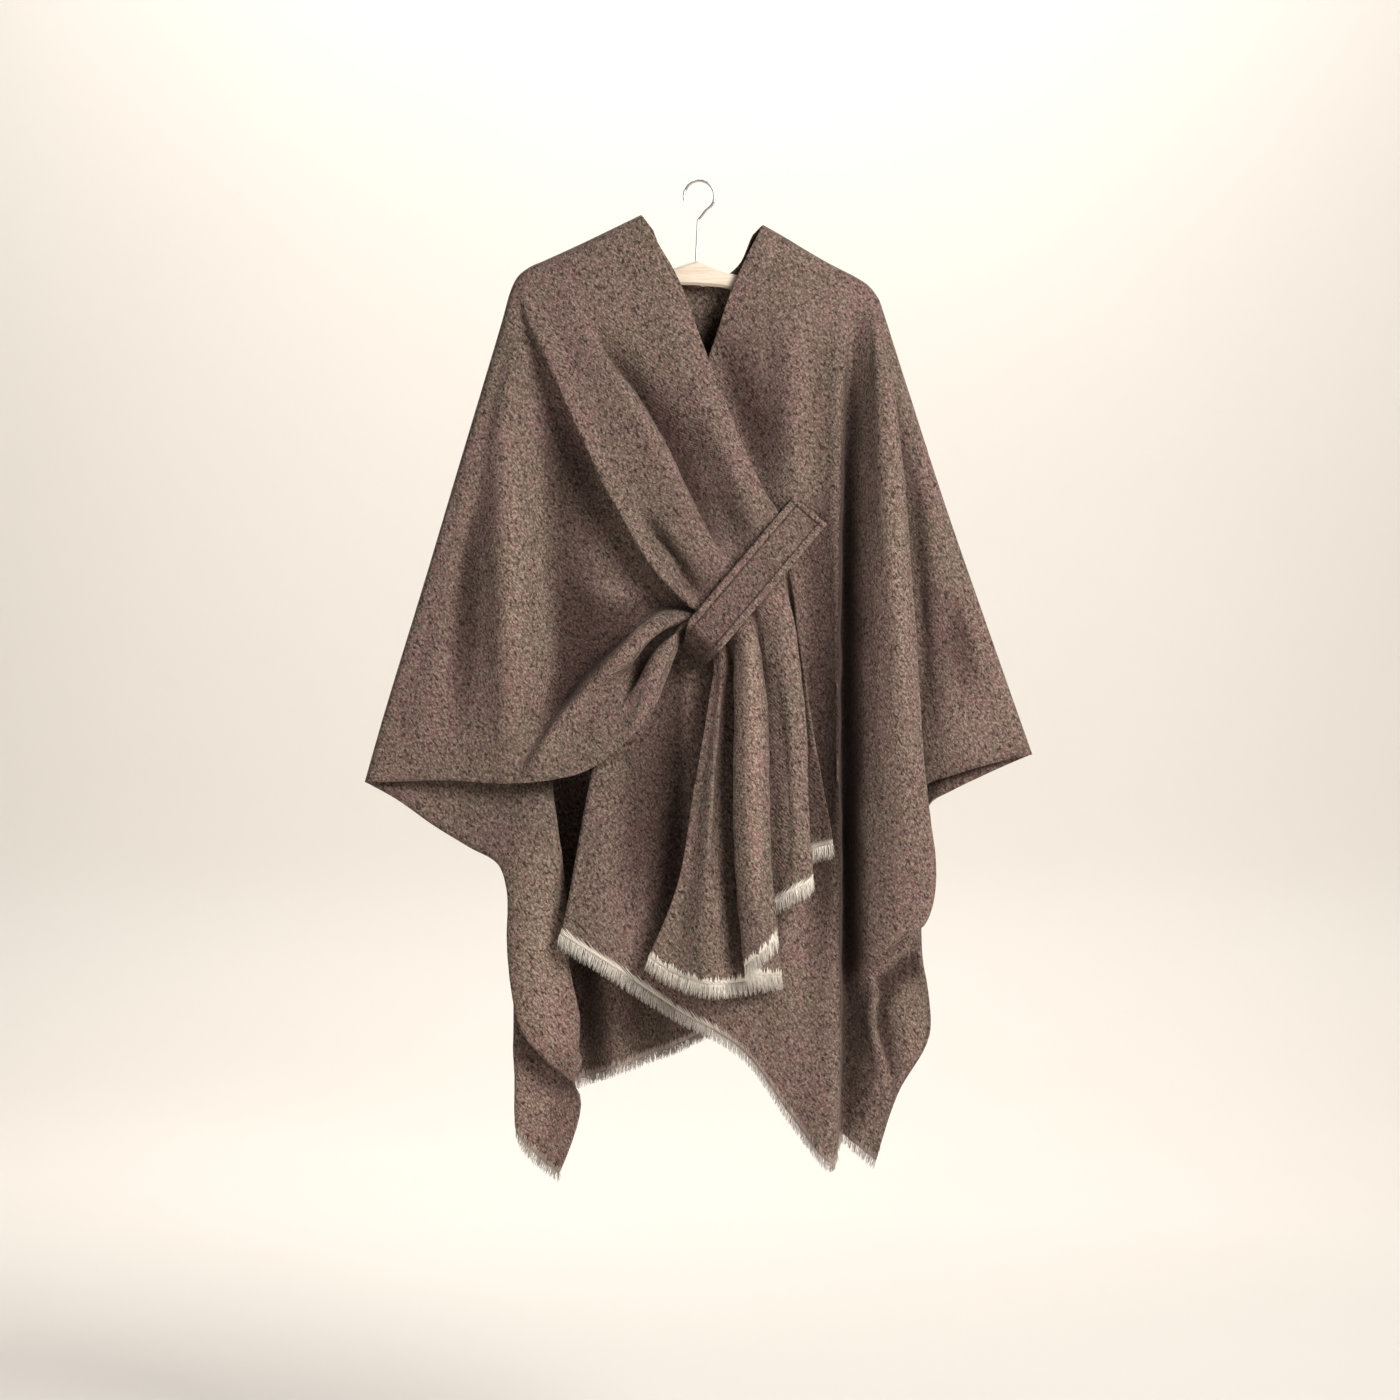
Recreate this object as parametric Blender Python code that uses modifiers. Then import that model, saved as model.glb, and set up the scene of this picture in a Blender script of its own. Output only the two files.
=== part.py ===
"""A woven wool wrap poncho on a hanger: one wide cloth slit up the front, its right front
drawn across through a strap loop on the left front, with short fringe on every hem."""

import math

import bmesh
import bpy
import numpy as np

# Places are (across, down, proud) in millimetres, as seen from the front: across to the
# right of the hook, down from the neck line, proud towards the viewer from the hanger.
MM = 0.001
HOOK_RISE = 22.0

WALL = 2.2
HALF_SEAM = 0.85
SHOULDER_ROLL = 8.0
WING_TIP_ROLL = 4.5
ROLL_ANGLES = (0.0, 40.0, 90.0)
NECK_LEEWAY = 9.0

FRINGE = 15.0
STRIP_GAP = 0.75
LEAST_SQUARE = 0.3
STRIP_DEPTH = 4.0
STRIP_THICKNESS = 1.8
LOCK_WIDTH = 4.2
LOCK_LEAN = 1.2

COLUMN_STEP = 17.0
ROW_STEP = 46.0

STRAP_TOP = (110.0, 311.0)
STRAP_WAY = (-0.645, 0.764)
STRAP_WIDTH = 42.0
STRAP_THICKNESS = 3.2

HANGER_TILT = math.radians(2.6)
HANGER_THICKNESS = 10.0
HANGER_EDGE = 2.5
HOOK_WIRE = 3.0
HOOK_BEND = 14.0

TWEED = (0.165, 0.118, 0.098)
CREAM = (0.80, 0.75, 0.66)
PALE_WOOD = (0.78, 0.62, 0.48)
STEEL = (0.62, 0.62, 0.60)

# The right front, which crosses over. Each row is a line of the cloth from the shoulder
# fold down, in order from the front edge to the selvedge of the wing.
CROSSING_UPPER = (
    # line, shoulder fold, neck, collar, chest, ribs, bust
    ("front edge", (-59, 12), (-41, 43, 13), (-22, 77, 18), (7, 155, 28), (41, 240, 36), (65, 293, 39)),
    ("lapel ridge", (-90, 27), (-72, 62, 15), (-52, 100, 22), (-16, 168, 32), (22, 245, 43), (48, 305, 48)),
    ("lapel trough", (-117, 40), (-100, 75, 15), (-80, 112, 22), (-45, 185, 29), (-4, 256, 31), (23, 316, 37)),
    ("lapel fold", (-135, 48), (-119, 83, 16), (-98, 125, 24), (-63, 195, 34), (-27, 266, 43), (7, 328, 50)),
    ("band", (-154, 57), (-138, 97, 16), (-117, 143, 25), (-83, 212, 36), (-48, 284, 46), (-10, 348, 52)),
    ("band trough", (-170, 65), (-155, 108, 15), (-135, 158, 24), (-103, 228, 35), (-69, 300, 43), (-29, 366, 46)),
    ("band edge", (-183, 73), (-173, 115, 15), (-154, 158, 25), (-122, 230, 38), (-88, 300, 47), (-49, 365, 52)),
    ("under band", (-189, 84), (-176, 122, 9), (-153, 162, 12), (-110, 230, 19), (-72, 297, 26), (-32, 362, 33)),
    ("wing inner", (-199, 120), (-186, 152, 10), (-168, 200, 13), (-137, 262, 17), (-100, 330, 21), (-52, 388, 28)),
    ("wing middle", (-222, 197), (-203, 230, 10), (-176, 275, 14), (-138, 335, 20), (-96, 390, 26), (-50, 412, 31)),
    ("swag ridge", (-248, 284), (-226, 318, 10), (-195, 365, 17), (-148, 422, 26), (-94, 462, 38), (-50, 434, 45)),
    ("swag pocket", (-275, 375), (-250, 407, 10), (-214, 450, 16), (-155, 495, 25), (-96, 490, 31), (-52, 452, 34)),
    ("swag lip", (-298, 450), (-268, 475, 10), (-225, 506, 15), (-162, 535, 24), (-99, 517, 36), (-50, 471, 43)),
    ("swag foot", (-318, 516), (-286, 532, 8), (-242, 550, 13), (-176, 566, 22), (-104, 545, 34), (-49, 490, 41)),
    ("selvedge", (-337, 583), (-300, 582, 6), (-255, 581, 10), (-185, 583, 19), (-110, 569, 32), (-48, 510, 38)),
)

# Where each line lies in the loop, measured along the strap from its stitched top end.
CROSSING_GATHER = (
    # line, going in, proud, midway, proud, coming out, proud
    ("front edge", 24, 37, 44, 38, 58, 42),
    ("lapel ridge", 50, 47, 58, 47, 64, 40),
    ("lapel trough", 82, 43, 76, 45, 72, 46),
    ("lapel fold", 91, 51, 90, 51, 88, 52),
    ("band", 113, 51, 110, 51, 106, 50),
    ("band trough", 136, 47, 126, 46, 117, 44),
    ("band edge", 150, 51, 136, 51, 124, 50),
    ("under band", 140, 38, 141, 43, 136, 53),
    ("wing inner", 146, 35, 148, 42, 146, 48),
    ("wing middle", 151, 40, 153, 41, 152, 42),
    ("swag ridge", 156, 45, 158, 42, 156, 38),
    ("swag pocket", 160, 41, 162, 41, 161, 41),
    ("swag lip", 164, 43.5, 166, 41.5, 166, 43),
    ("swag foot", 168, 40, 170, 38.5, 170, 40),
    ("selvedge", 172, 35, 174.5, 34.5, 175, 36),
)

# The end that falls below the loop in stepped folds, down to the tips of its fringe.
CROSSING_TAIL = (
    # line, hip, thigh, knee, fringe tip
    ("front edge", (109, 507, 50), (122, 585, 48), (130, 628, 48), (134, 658, 48)),
    ("lapel ridge", (96, 502, 42), (100, 585, 42), (101, 638, 43), (101, 670, 43)),
    ("lapel trough", (102, 490, 51), (107, 596, 54), (110, 652, 56), (112, 692, 56)),
    ("lapel fold", (87, 492, 58), (89, 596, 62), (92, 662, 64), (92, 704, 64)),
    ("band", (73, 494, 50), (74, 596, 51), (75, 668, 53), (76, 714, 54)),
    ("band trough", (60, 496, 46), (60, 596, 50), (61, 672, 55), (63, 727, 56)),
    ("band edge", (65, 490, 57), (68, 596, 63), (71, 678, 68), (77, 746, 69)),
    ("under band", (50, 492, 65), (52, 596, 73), (56, 682, 78), (62, 764, 79)),
    ("wing inner", (34, 496, 57), (33, 596, 63), (37, 684, 67), (45, 780, 67)),
    ("wing middle", (38, 500, 46), (42, 600, 49), (49, 686, 51), (60, 788, 52)),
    ("swag ridge", (42, 504, 37), (53, 604, 39), (72, 688, 40), (82, 789, 41)),
    ("swag pocket", (27, 506, 40), (26, 606, 42), (30, 692, 44), (38, 796, 44)),
    ("swag lip", (20, 503, 47), (12, 602, 56), (10, 690, 60), (8, 797, 60)),
    ("swag foot", (14, 502, 42), (0, 600, 46), (-13, 688, 47), (-30, 786, 47)),
    ("selvedge", (9, 500, 40), (-7, 595, 43), (-22, 682, 48), (-57, 769, 50)),
)

# The left front, which lies under and carries the strap.
UNDER_FRONT = (
    # line, shoulder fold, neck, chest, ribs, waist, hip, thigh, over the drop fold,
    # under the drop fold, shin, ankle, fringe tip
    ("front edge", (63, 22), (35, 80, 13), (10, 150, 18), (-22, 250, 20), (-55, 360, 18), (-88, 480, 16),
     (-108, 570, 16), (-121, 638, 20), (-126, 666, 23), (-132, 700, 25), (-138, 726, 26), (-144, 748, 26)),
    ("neck fold", (74, 28), (55, 100, 20), (38, 180, 22), (16, 280, 20), (-6, 390, 16), (-32, 500, 15),
     (-50, 590, 17), (-62, 660, 20), (-66, 690, 21), (-72, 732, 22), (-77, 762, 22), (-82, 787, 22)),
    ("soft trough", (86, 35), (74, 110, 24), (62, 195, 22), (48, 290, 18), (30, 400, 14), (12, 510, 12),
     (-2, 610, 12), (-10, 685, 13), (-13, 715, 13), (-18, 762, 14), (-21, 795, 14), (-24, 824, 14)),
    ("strap ridge", (104, 46), (98, 120, 29), (96, 205, 30), (93, 300, 27), (85, 410, 22), (76, 520, 20),
     (68, 620, 22), (61, 700, 24), (58, 735, 25), (52, 790, 27), (47, 828, 27), (42, 861, 27)),
    ("flat", (128, 60), (126, 125, 28), (124, 205, 28), (123, 300, 26), (124, 420, 22), (122, 540, 20),
     (117, 650, 22), (111, 730, 24), (108, 765, 26), (102, 835, 29), (97, 885, 30), (90, 926, 30)),
    ("trough lip", (146, 69), (144, 130, 27), (141, 210, 27), (139, 310, 28), (138, 430, 28), (139, 560, 28),
     (139, 670, 30), (138, 750, 32), (138, 785, 33), (137, 860, 35), (135, 920, 36), (130, 972, 36)),
    ("deep trough", (157, 75), (157, 138, 20), (155, 218, 12), (152, 320, 5), (150, 445, 0), (151, 575, -2),
     (152, 680, -2), (152, 755, 0), (152, 790, 2), (150, 860, 6), (147, 905, 8), (142, 946, 10)),
    ("ridge flank", (167, 83), (168, 142, 27), (167, 225, 27), (166, 325, 28), (166, 450, 28), (166, 585, 28),
     (167, 690, 30), (169, 762, 26), (172, 762, 15), (170, 850, 8), (162, 905, 10), (152, 954, 10)),
    ("ridge crown", (173, 88), (177, 148, 36), (182, 232, 41), (187, 332, 44), (193, 455, 46), (199, 590, 48),
     (203, 685, 48), (199, 740, 40), (197, 735, 20), (189, 845, 10), (175, 903, 10), (160, 960, 10)),
    ("ridge fold", (178, 96), (187, 158, 33), (197, 242, 37), (207, 345, 40), (216, 460, 42), (226, 595, 42),
     (235, 680, 40), (225, 722, 32), (213, 726, 17), (203, 840, 10), (183, 901, 10), (165, 965, 10)),
    ("behind ridge", (183, 108), (184, 168, 18), (189, 255, 14), (195, 355, 12), (201, 468, 11), (208, 595, 10),
     (214, 678, 8), (210, 704, 9), (209, 726, 8), (213, 838, 8), (188, 900, 10), (168, 967, 10)),
    ("wing inner", (200, 160), (208, 220, 15), (214, 295, 13), (218, 385, 10), (220, 490, 8), (215, 595, 2),
     (216, 672, 0), (215, 712, 2), (216, 738, 4), (220, 836, 6), (192, 899, 9), (170, 969, 10)),
    ("wing middle", (245, 300), (245, 360, 12), (242, 420, 14), (236, 490, 12), (226, 550, 6), (213, 602, -3),
     (217, 676, -4), (219, 718, -2), (220, 746, 0), (225, 836, 4), (195, 898, 8), (172, 970, 10)),
    ("wing outer", (290, 430), (278, 465, 11), (262, 505, 12), (245, 540, 10), (228, 572, 3), (212, 606, -6),
     (218, 680, -6), (220, 722, -4), (221, 750, -2), (228, 836, 3), (197, 897, 8), (173, 971, 10)),
    ("selvedge", (334, 555), (305, 561, 5), (275, 569, 7), (250, 577, 5), (229, 585, 0), (211, 612, -9),
     (219, 684, -8), (222, 726, -6), (223, 754, -4), (231, 836, 2), (199, 896, 8), (174, 972, 10)),
)

# The back, from the selvedge under the right wing to the one under the left wing.
BACK = (
    # line, shoulder fold or neckline, blade, ribs, waist, seat, thigh, knee, calf, shin, ankle, fringe tip
    ("right selvedge", (-337, 583), (-305, 601, -5), (-270, 626, -7), (-234, 648, -7), (-203, 666, -5),
     (-193, 692, -3), (-192, 760, 2), (-179, 830, 8), (-150, 866, 9), (-121, 897, 6), (-144, 986, -6)),
    ("drape crown", (-312, 500), (-275, 525, -8), (-238, 557, -10), (-205, 590, -8), (-180, 630, 3),
     (-168, 690, 9), (-166, 760, 12), (-149, 830, 12), (-121, 862, 9), (-132, 890, -2), (-154, 980, -10)),
    ("drape fold", (-288, 420), (-250, 455, -9), (-212, 500, -12), (-180, 545, -10), (-152, 600, 0),
     (-138, 680, 4), (-133, 760, 5), (-123, 825, 0), (-127, 860, -7), (-144, 890, -12), (-167, 970, -15)),
    ("drape middle", (-263, 335), (-225, 380, -10), (-190, 440, -14), (-164, 500, -16), (-150, 590, -14),
     (-154, 680, -15), (-156, 760, -16), (-152, 820, -18), (-157, 853, -19), (-164, 885, -21),
     (-179, 958, -21)),
    ("drape root", (-238, 250), (-204, 310, -11), (-176, 390, -17), (-162, 470, -22), (-172, 580, -27),
     (-184, 680, -29), (-188, 760, -30), (-188, 820, -31), (-188, 850, -31), (-187, 880, -31),
     (-185, 940, -30)),
    ("right turn", (-213, 168), (-188, 240, -13), (-167, 340, -21), (-157, 450, -29), (-157, 570, -37),
     (-162, 680, -42), (-164, 760, -44), (-163, 815, -44), (-162, 842, -44), (-160, 870, -44),
     (-155, 912, -43)),
    ("right ridge", (-191, 92), (-178, 170, -16), (-160, 280, -25), (-144, 410, -35), (-132, 560, -50),
     (-128, 680, -62), (-126, 755, -65), (-124, 805, -64), (-123, 830, -64), (-122, 855, -64),
     (-118, 896, -65)),
    ("right trough", (-165, 62), (-155, 150, -19), (-138, 260, -27), (-118, 390, -34), (-100, 550, -39),
     (-92, 670, -41), (-89, 745, -39), (-87, 795, -38), (-86, 820, -38), (-86, 845, -38), (-84, 883, -39)),
    ("blade ridge", (-110, 36), (-102, 130, -21), (-88, 240, -28), (-72, 370, -35), (-60, 540, -43),
     (-55, 660, -52), (-52, 735, -54), (-51, 785, -55), (-50, 808, -55), (-50, 830, -55), (-49, 871, -56)),
    ("right neck", (-59, 12), (-55, 115, -20), (-46, 230, -28), (-36, 360, -30), (-28, 530, -29),
     (-24, 650, -26), (-22, 725, -24), (-21, 775, -24), (-20, 796, -24), (-20, 818, -24), (-19, 857, -24)),
    ("neck curve right", (-33, 59, -9), (-27, 135, -20), (-19, 235, -27), (-12, 360, -30), (-7, 525, -33),
     (-5, 645, -37), (-4, 720, -37), (-4, 770, -35), (-4, 791, -35), (-3, 812, -35), (-3, 850, -37)),
    ("centre back", (3, 82, -13), (4, 150, -20), (6, 240, -26), (8, 360, -30), (10, 520, -35),
     (11, 640, -43), (11, 715, -48), (11, 765, -49), (11, 785, -49), (11, 805, -49), (11, 845, -50)),
    ("neck curve left", (38, 62, -9), (36, 138, -20), (36, 238, -27), (38, 360, -29), (41, 525, -26),
     (43, 645, -24), (44, 720, -24), (44, 770, -24), (44, 791, -24), (44, 812, -24), (44, 852, -24)),
    ("left neck", (63, 22), (64, 118, -20), (66, 230, -28), (68, 360, -34), (72, 528, -43), (75, 648, -52),
     (76, 725, -56), (76, 775, -57), (76, 796, -57), (76, 818, -57), (76, 862, -59)),
    ("left trough", (112, 48), (110, 135, -21), (106, 240, -27), (102, 370, -29), (100, 535, -26),
     (102, 658, -24), (103, 735, -24), (103, 785, -24), (103, 806, -24), (103, 828, -24), (103, 875, -24)),
    ("left ridge", (158, 75), (150, 155, -19), (142, 265, -27), (134, 390, -36), (128, 545, -52),
     (129, 670, -64), (129, 745, -68), (129, 795, -68), (129, 818, -68), (129, 840, -68), (128, 890, -68)),
    ("left valley", (178, 96), (170, 175, -15), (162, 285, -23), (152, 410, -29), (146, 555, -31),
     (148, 680, -28), (150, 755, -24), (150, 805, -24), (150, 828, -24), (149, 850, -24), (146, 908, -24)),
    ("wing ridge", (205, 175), (194, 250, -13), (184, 345, -22), (174, 455, -34), (168, 570, -50),
     (168, 685, -62), (168, 762, -63), (168, 815, -60), (167, 838, -57), (166, 860, -55), (158, 922, -52)),
    ("wing valley", (238, 280), (222, 340, -11), (208, 410, -19), (196, 490, -23), (188, 585, -26),
     (186, 685, -26), (186, 765, -24), (184, 820, -24), (182, 844, -24), (180, 868, -24), (166, 934, -24)),
    ("wing middle", (270, 373), (252, 425, -10), (236, 480, -14), (220, 535, -20), (208, 600, -25),
     (203, 690, -27), (200, 770, -28), (197, 828, -28), (193, 853, -28), (189, 878, -27), (172, 944, -26)),
    ("wing outer", (302, 465), (282, 500, -8), (262, 535, -10), (242, 570, -13), (225, 615, -18),
     (212, 695, -23), (206, 775, -24), (202, 835, -24), (198, 862, -24), (193, 888, -23), (176, 952, -22)),
    ("left selvedge", (334, 555), (308, 566, -4), (282, 578, -6), (255, 591, -7), (230, 606, -10),
     (218, 660, -17), (212, 745, -19), (208, 820, -19), (204, 855, -18), (199, 890, -18), (180, 958, -17)),
)

# The strap's own line: from the stitched end, over the gathers, round them and back under.
# It narrows from the left where it turns back.
STRAP_LINE = (
    # along, proud, left edge, right edge
    (-1, 30.15, -21, 21), (10, 31.1, -21, 21), (24, 43, -21, 21), (40, 53, -21, 21), (62, 59, -21, 21),
    (90, 61, -21, 21), (125, 61, -21, 21), (150, 60, -21, 21), (163, 57.5, -21, 21), (173, 52, -16, 21),
    (181, 45, -11, 20), (184, 36, -8, 19), (179, 26.5, -6, 19), (166, 20.9, -5, 20), (148, 18.2, -5, 21),
)

# The shoulder fold on each side, from the neck out to the wing tip, on which panels meet.
SHOULDER_RIGHT = (
    (-59, 12), (-90, 27), (-117, 40), (-154, 57), (-172, 65), (-183, 74), (-190, 88), (-199, 120),
    (-222, 197), (-248, 284), (-275, 375), (-318, 516), (-337, 583),
)
SHOULDER_LEFT = (
    (63, 22), (86, 35), (104, 46), (128, 60), (157, 75), (169, 83), (179, 96), (185, 113), (200, 160),
    (245, 300), (290, 430), (334, 555),
)

# The hanger's upper and lower edges, from its middle out, before it tilts.
HANGER_TOP = ((0, 80), (27, 90), (64, 95), (120, 99.5), (160, 102.5))
HANGER_UNDER = ((160, 124), (120, 119), (64, 112), (27, 105), (0, 104))
HANGER_TIP = (168.6, 113)
HANGER_TIP_RADIUS = 9.8


def clear_scene():
    for old in list(bpy.data.objects):
        bpy.data.objects.remove(old, do_unlink=True)


def material(name, colour, roughness, metallic=0.0):
    made = bpy.data.materials.new(name)
    made.use_nodes = True
    shader = made.node_tree.nodes["Principled BSDF"]
    shader.inputs["Base Color"].default_value = (*colour, 1.0)
    shader.inputs["Roughness"].default_value = roughness
    shader.inputs["Metallic"].default_value = metallic
    return made


def world(place):
    """A point in the scene, in metres, from its (across, down, proud) in millimetres."""
    across, down, proud = place
    return (across * MM, -proud * MM, -(down + HOOK_RISE) * MM)


def curve_through(points, steps):
    """A smooth curve through the points, with the given number of steps in each span.
    Its tangents follow the square roots of the spans, which keeps tight folds round."""
    points = np.asarray(points, float)
    chords = np.linalg.norm(np.diff(points, axis=0), axis=1)
    spans = np.sqrt(np.maximum(chords, 1e-6))
    slopes = np.diff(points, axis=0) / spans[:, None]
    tangents = np.empty_like(points)
    before, after = spans[:-1, None], spans[1:, None]
    tangents[1:-1] = (slopes[:-1] * after + slopes[1:] * before) / (before + after)
    tangents[0] = 1.5 * slopes[0] - 0.5 * tangents[1]
    tangents[-1] = 1.5 * slopes[-1] - 0.5 * tangents[-2]
    made = [points[:1]]
    for i, count in enumerate(steps):
        t = (np.arange(1, count + 1) / count)[:, None]
        start, end = points[i], points[i + 1]
        out, into = tangents[i] * spans[i], tangents[i + 1] * spans[i]
        made.append(
            (2 * t**3 - 3 * t**2 + 1) * start
            + (t**3 - 2 * t**2 + t) * out
            + (3 * t**2 - 2 * t**3) * end
            + (t**3 - t**2) * into
        )
    return np.concatenate(made)


def steps_for(lengths, step, least=1):
    """How many steps of about this length each span takes."""
    return [max(least, round(length / step)) for length in lengths]


def rolled_top(top, below, share, side):
    """The points with which a line leaves the shoulder fold. A point with its own proud
    value lies on the cut neckline, which isn't rolled."""
    start = np.array(top[:2], float)
    way = np.array(below[:2], float) - start
    way /= np.linalg.norm(way)
    radius = SHOULDER_ROLL + (WING_TIP_ROLL - SHOULDER_ROLL) * share
    made = []
    for angle in np.radians(ROLL_ANGLES):
        if len(top) == 3:
            across, down = start + way * radius * angle
            made.append((across, down, top[2] + 0.25 * side * radius * angle))
        else:
            across, down = start + way * radius * (1 - math.cos(angle))
            made.append((across, down, side * (HALF_SEAM + radius * math.sin(angle))))
    return made


def hem_end(above, tip):
    """Where the cloth ends on a line whose fringe reaches the tip."""
    above, tip = np.array(above, float), np.array(tip, float)
    return tip + (above - tip) * (FRINGE / np.linalg.norm(above - tip))


def cloth_lines(rows, side):
    """Every line of a panel as points from the shoulder fold to the cloth's end, and the
    fringe tips. Side is 1 on the front and -1 on the back."""
    tops = np.array([row[1][:2] for row in rows], float)
    neck = np.argmin(np.abs(tops[:, 0]))
    along = np.abs(tops[:, 0] - tops[neck, 0]) + np.abs(tops[:, 1] - tops[neck, 1])
    lines, tips = [], []
    for row, distance in zip(rows, along):
        share = min(1.0, distance / along.max())
        start = rolled_top(row[1], row[2], share, side)
        lines.append([*start, *row[2:-1], hem_end(row[-2], row[-1])])
        tips.append(row[-1])
    return np.array(lines, float), np.array(tips, float)


def strap_place(along, aside, proud):
    """A point by its distance along the strap, across it and proud of the hanger."""
    across = STRAP_TOP[0] + STRAP_WAY[0] * along + STRAP_WAY[1] * aside
    down = STRAP_TOP[1] + STRAP_WAY[1] * along - STRAP_WAY[0] * aside
    return (across, down, proud)


def crossing_rows():
    """The right front's rows: upper part, the gathers in the loop, and the tail."""
    half = STRAP_WIDTH / 2
    rows = []
    for upper, gather, tail in zip(CROSSING_UPPER, CROSSING_GATHER, CROSSING_TAIL):
        _, enter, enter_proud, middle, middle_proud, leave, leave_proud = gather
        loop = (
            strap_place(enter, -half, enter_proud),
            strap_place(middle, 0, middle_proud),
            strap_place(leave, half, leave_proud),
        )
        rows.append((*upper, *loop, *tail[1:]))
    return rows


def onto_fold(points, fold):
    """Moves a panel's first rows so that its top edge lies on the shared shoulder fold."""
    starts, spans = fold[:-1], np.diff(fold, axis=0)
    for column in points:
        top = column[0, :2]
        share = np.clip(((top - starts) * spans).sum(1) / (spans**2).sum(1), 0, 1)
        nearest = starts + spans * share[:, None]
        move = nearest[np.linalg.norm(nearest - top, axis=1).argmin()] - top
        if np.linalg.norm(move) < NECK_LEEWAY:
            for row, part in enumerate((1, 1, 1, 0.5)):
                column[row, :2] += move * part
    return points


def surface(lines, column_step, row_step):
    """A panel's points as columns by rows, through its lines."""
    spans = np.linalg.norm(np.diff(lines, axis=1), axis=2).mean(axis=0)
    row_steps = steps_for(spans, row_step)
    down = np.array([curve_through(line, row_steps) for line in lines])
    widths = np.linalg.norm(np.diff(lines[:, 3:], axis=0), axis=2)
    widths = np.quantile(widths, 0.75, axis=1)
    column_steps = steps_for(widths, column_step, least=2)
    rows = [curve_through(down[:, k], column_steps) for k in range(down.shape[1])]
    return np.array(rows).transpose(1, 0, 2), column_steps


def grid_object(name, points, finish, collection):
    """An open sheet with the given columns by rows of points."""
    columns, rows = points.shape[:2]
    shape = bmesh.new()
    bmesh.ops.create_grid(shape, x_segments=columns - 1, y_segments=rows - 1, size=0.5)
    for vert in shape.verts:
        column = round((vert.co.x + 0.5) * (columns - 1))
        row = round((0.5 - vert.co.y) * (rows - 1))
        vert.co = world(points[column, row])
    mesh = bpy.data.meshes.new(name)
    shape.to_mesh(mesh)
    shape.free()
    mesh.materials.append(finish)
    mesh.shade_smooth()
    made = bpy.data.objects.new(name, mesh)
    collection.objects.link(made)
    return made


def thicken(sheet, thickness):
    """Gives a sheet its wall, half on each side."""
    wall = sheet.modifiers.new("Wall", "SOLIDIFY")
    wall.thickness = thickness * MM
    wall.offset = 0.0
    wall.use_quality_normals = True


def panel(name, rows, side, finish, collection):
    """One cloth panel, and the hem edge and tips from which its fringe is made."""
    lines, tips = cloth_lines(rows, side)
    points, column_steps = surface(lines, COLUMN_STEP, ROW_STEP)
    for fold in (SHOULDER_RIGHT, SHOULDER_LEFT):
        points = onto_fold(points, curve_through(fold, [6] * (len(fold) - 1)))
    thicken(grid_object(name, points, finish, collection), WALL)
    return points[:, -1], curve_through(tips, column_steps)


def parts_along(hem):
    """Where the strip is divided, counted in the hem's own points. Each part is about as
    wide as a lock, and points that crowd together are passed over."""
    share, last = [0.0], 0
    for k in range(1, len(hem)):
        length = np.linalg.norm(hem[k] - hem[last])
        if length > 0.6 * LOCK_WIDTH or k == len(hem) - 1:
            count = max(1, round(length / LOCK_WIDTH))
            share += [last + (k - last) * i / count for i in range(1, count + 1)]
            last = k
    return np.array(share)


def fringe(name, hem, tips, finish, collection):
    """A narrow strip under a hem, with pointed locks drawn out of every other face."""
    share = parts_along(hem)
    known = np.arange(len(hem))
    edge = np.array([np.interp(share, known, hem[:, k]) for k in range(3)]).T
    ends = np.array([np.interp(share, known, tips[:, k]) for k in range(3)]).T
    way = ends - edge
    way /= np.linalg.norm(way, axis=1)[:, None]
    hem_way = np.gradient(edge, axis=0)
    hem_way /= np.linalg.norm(hem_way, axis=1)[:, None]
    square = np.linalg.norm(np.cross(way, hem_way), axis=1)[:, None]
    top = edge + way * STRIP_GAP / np.maximum(square, LEAST_SQUARE)
    foot = top + way * (STRIP_DEPTH - STRIP_GAP)
    strip = grid_object(name, np.stack([top, foot], axis=1), finish, collection)
    thicken(strip, STRIP_THICKNESS)
    graph = bpy.context.evaluated_depsgraph_get()
    solid = bpy.data.meshes.new_from_object(strip.evaluated_get(graph))
    strip.modifiers.clear()
    strip.data = solid
    shape = bmesh.new()
    shape.from_mesh(solid)
    draw_locks(shape, foot, ends)
    shape.to_mesh(solid)
    shape.free()


def draw_locks(shape, foot, ends):
    """Pulls every other underside face of a strip out to a lock's tip."""
    feet = np.array([world(p) for p in foot])
    middles = (feet[1:] + feet[:-1]) / 2
    reach = STRIP_THICKNESS * 0.2 * MM
    under = {}
    for face in shape.faces:
        gap = np.linalg.norm(middles - np.array(face.calc_center_median()), axis=1)
        nearest = int(gap.argmin())
        if gap[nearest] < reach:
            under[nearest] = face
    chosen = [under[k] for k in sorted(under) if k % 2 == 0]
    order = [k for k in sorted(under) if k % 2 == 0]
    drawn = bmesh.ops.extrude_discrete_faces(shape, faces=chosen)["faces"]
    for k, face in zip(order, drawn):
        lean = LOCK_LEAN * math.sin(2.4 * k)
        tip = (ends[k] + ends[k + 1]) / 2 + np.array([lean, 0.0, 0.0])
        bmesh.ops.pointmerge(shape, verts=list(face.verts), merge_co=world(tip))
    bmesh.ops.recalc_face_normals(shape, faces=list(shape.faces))


def strap(finish, collection):
    """The flat strap loop, a doubled band of the same cloth."""
    line = curve_through(STRAP_LINE, [2] * (len(STRAP_LINE) - 1))
    rows = [
        [strap_place(a, left + (right - left) * share, p) for a, p, left, right in line]
        for share in (0, 0.5, 1)
    ]
    thicken(grid_object("strap", np.array(rows), finish, collection), STRAP_THICKNESS)


def tilted(across, drop):
    """A point of the hanger, from the hook's seat, once it hangs a little to one side."""
    turned = across * math.cos(HANGER_TILT) - drop * math.sin(HANGER_TILT)
    fallen = across * math.sin(HANGER_TILT) + drop * math.cos(HANGER_TILT)
    return (turned * MM, -fallen * MM)


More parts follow.
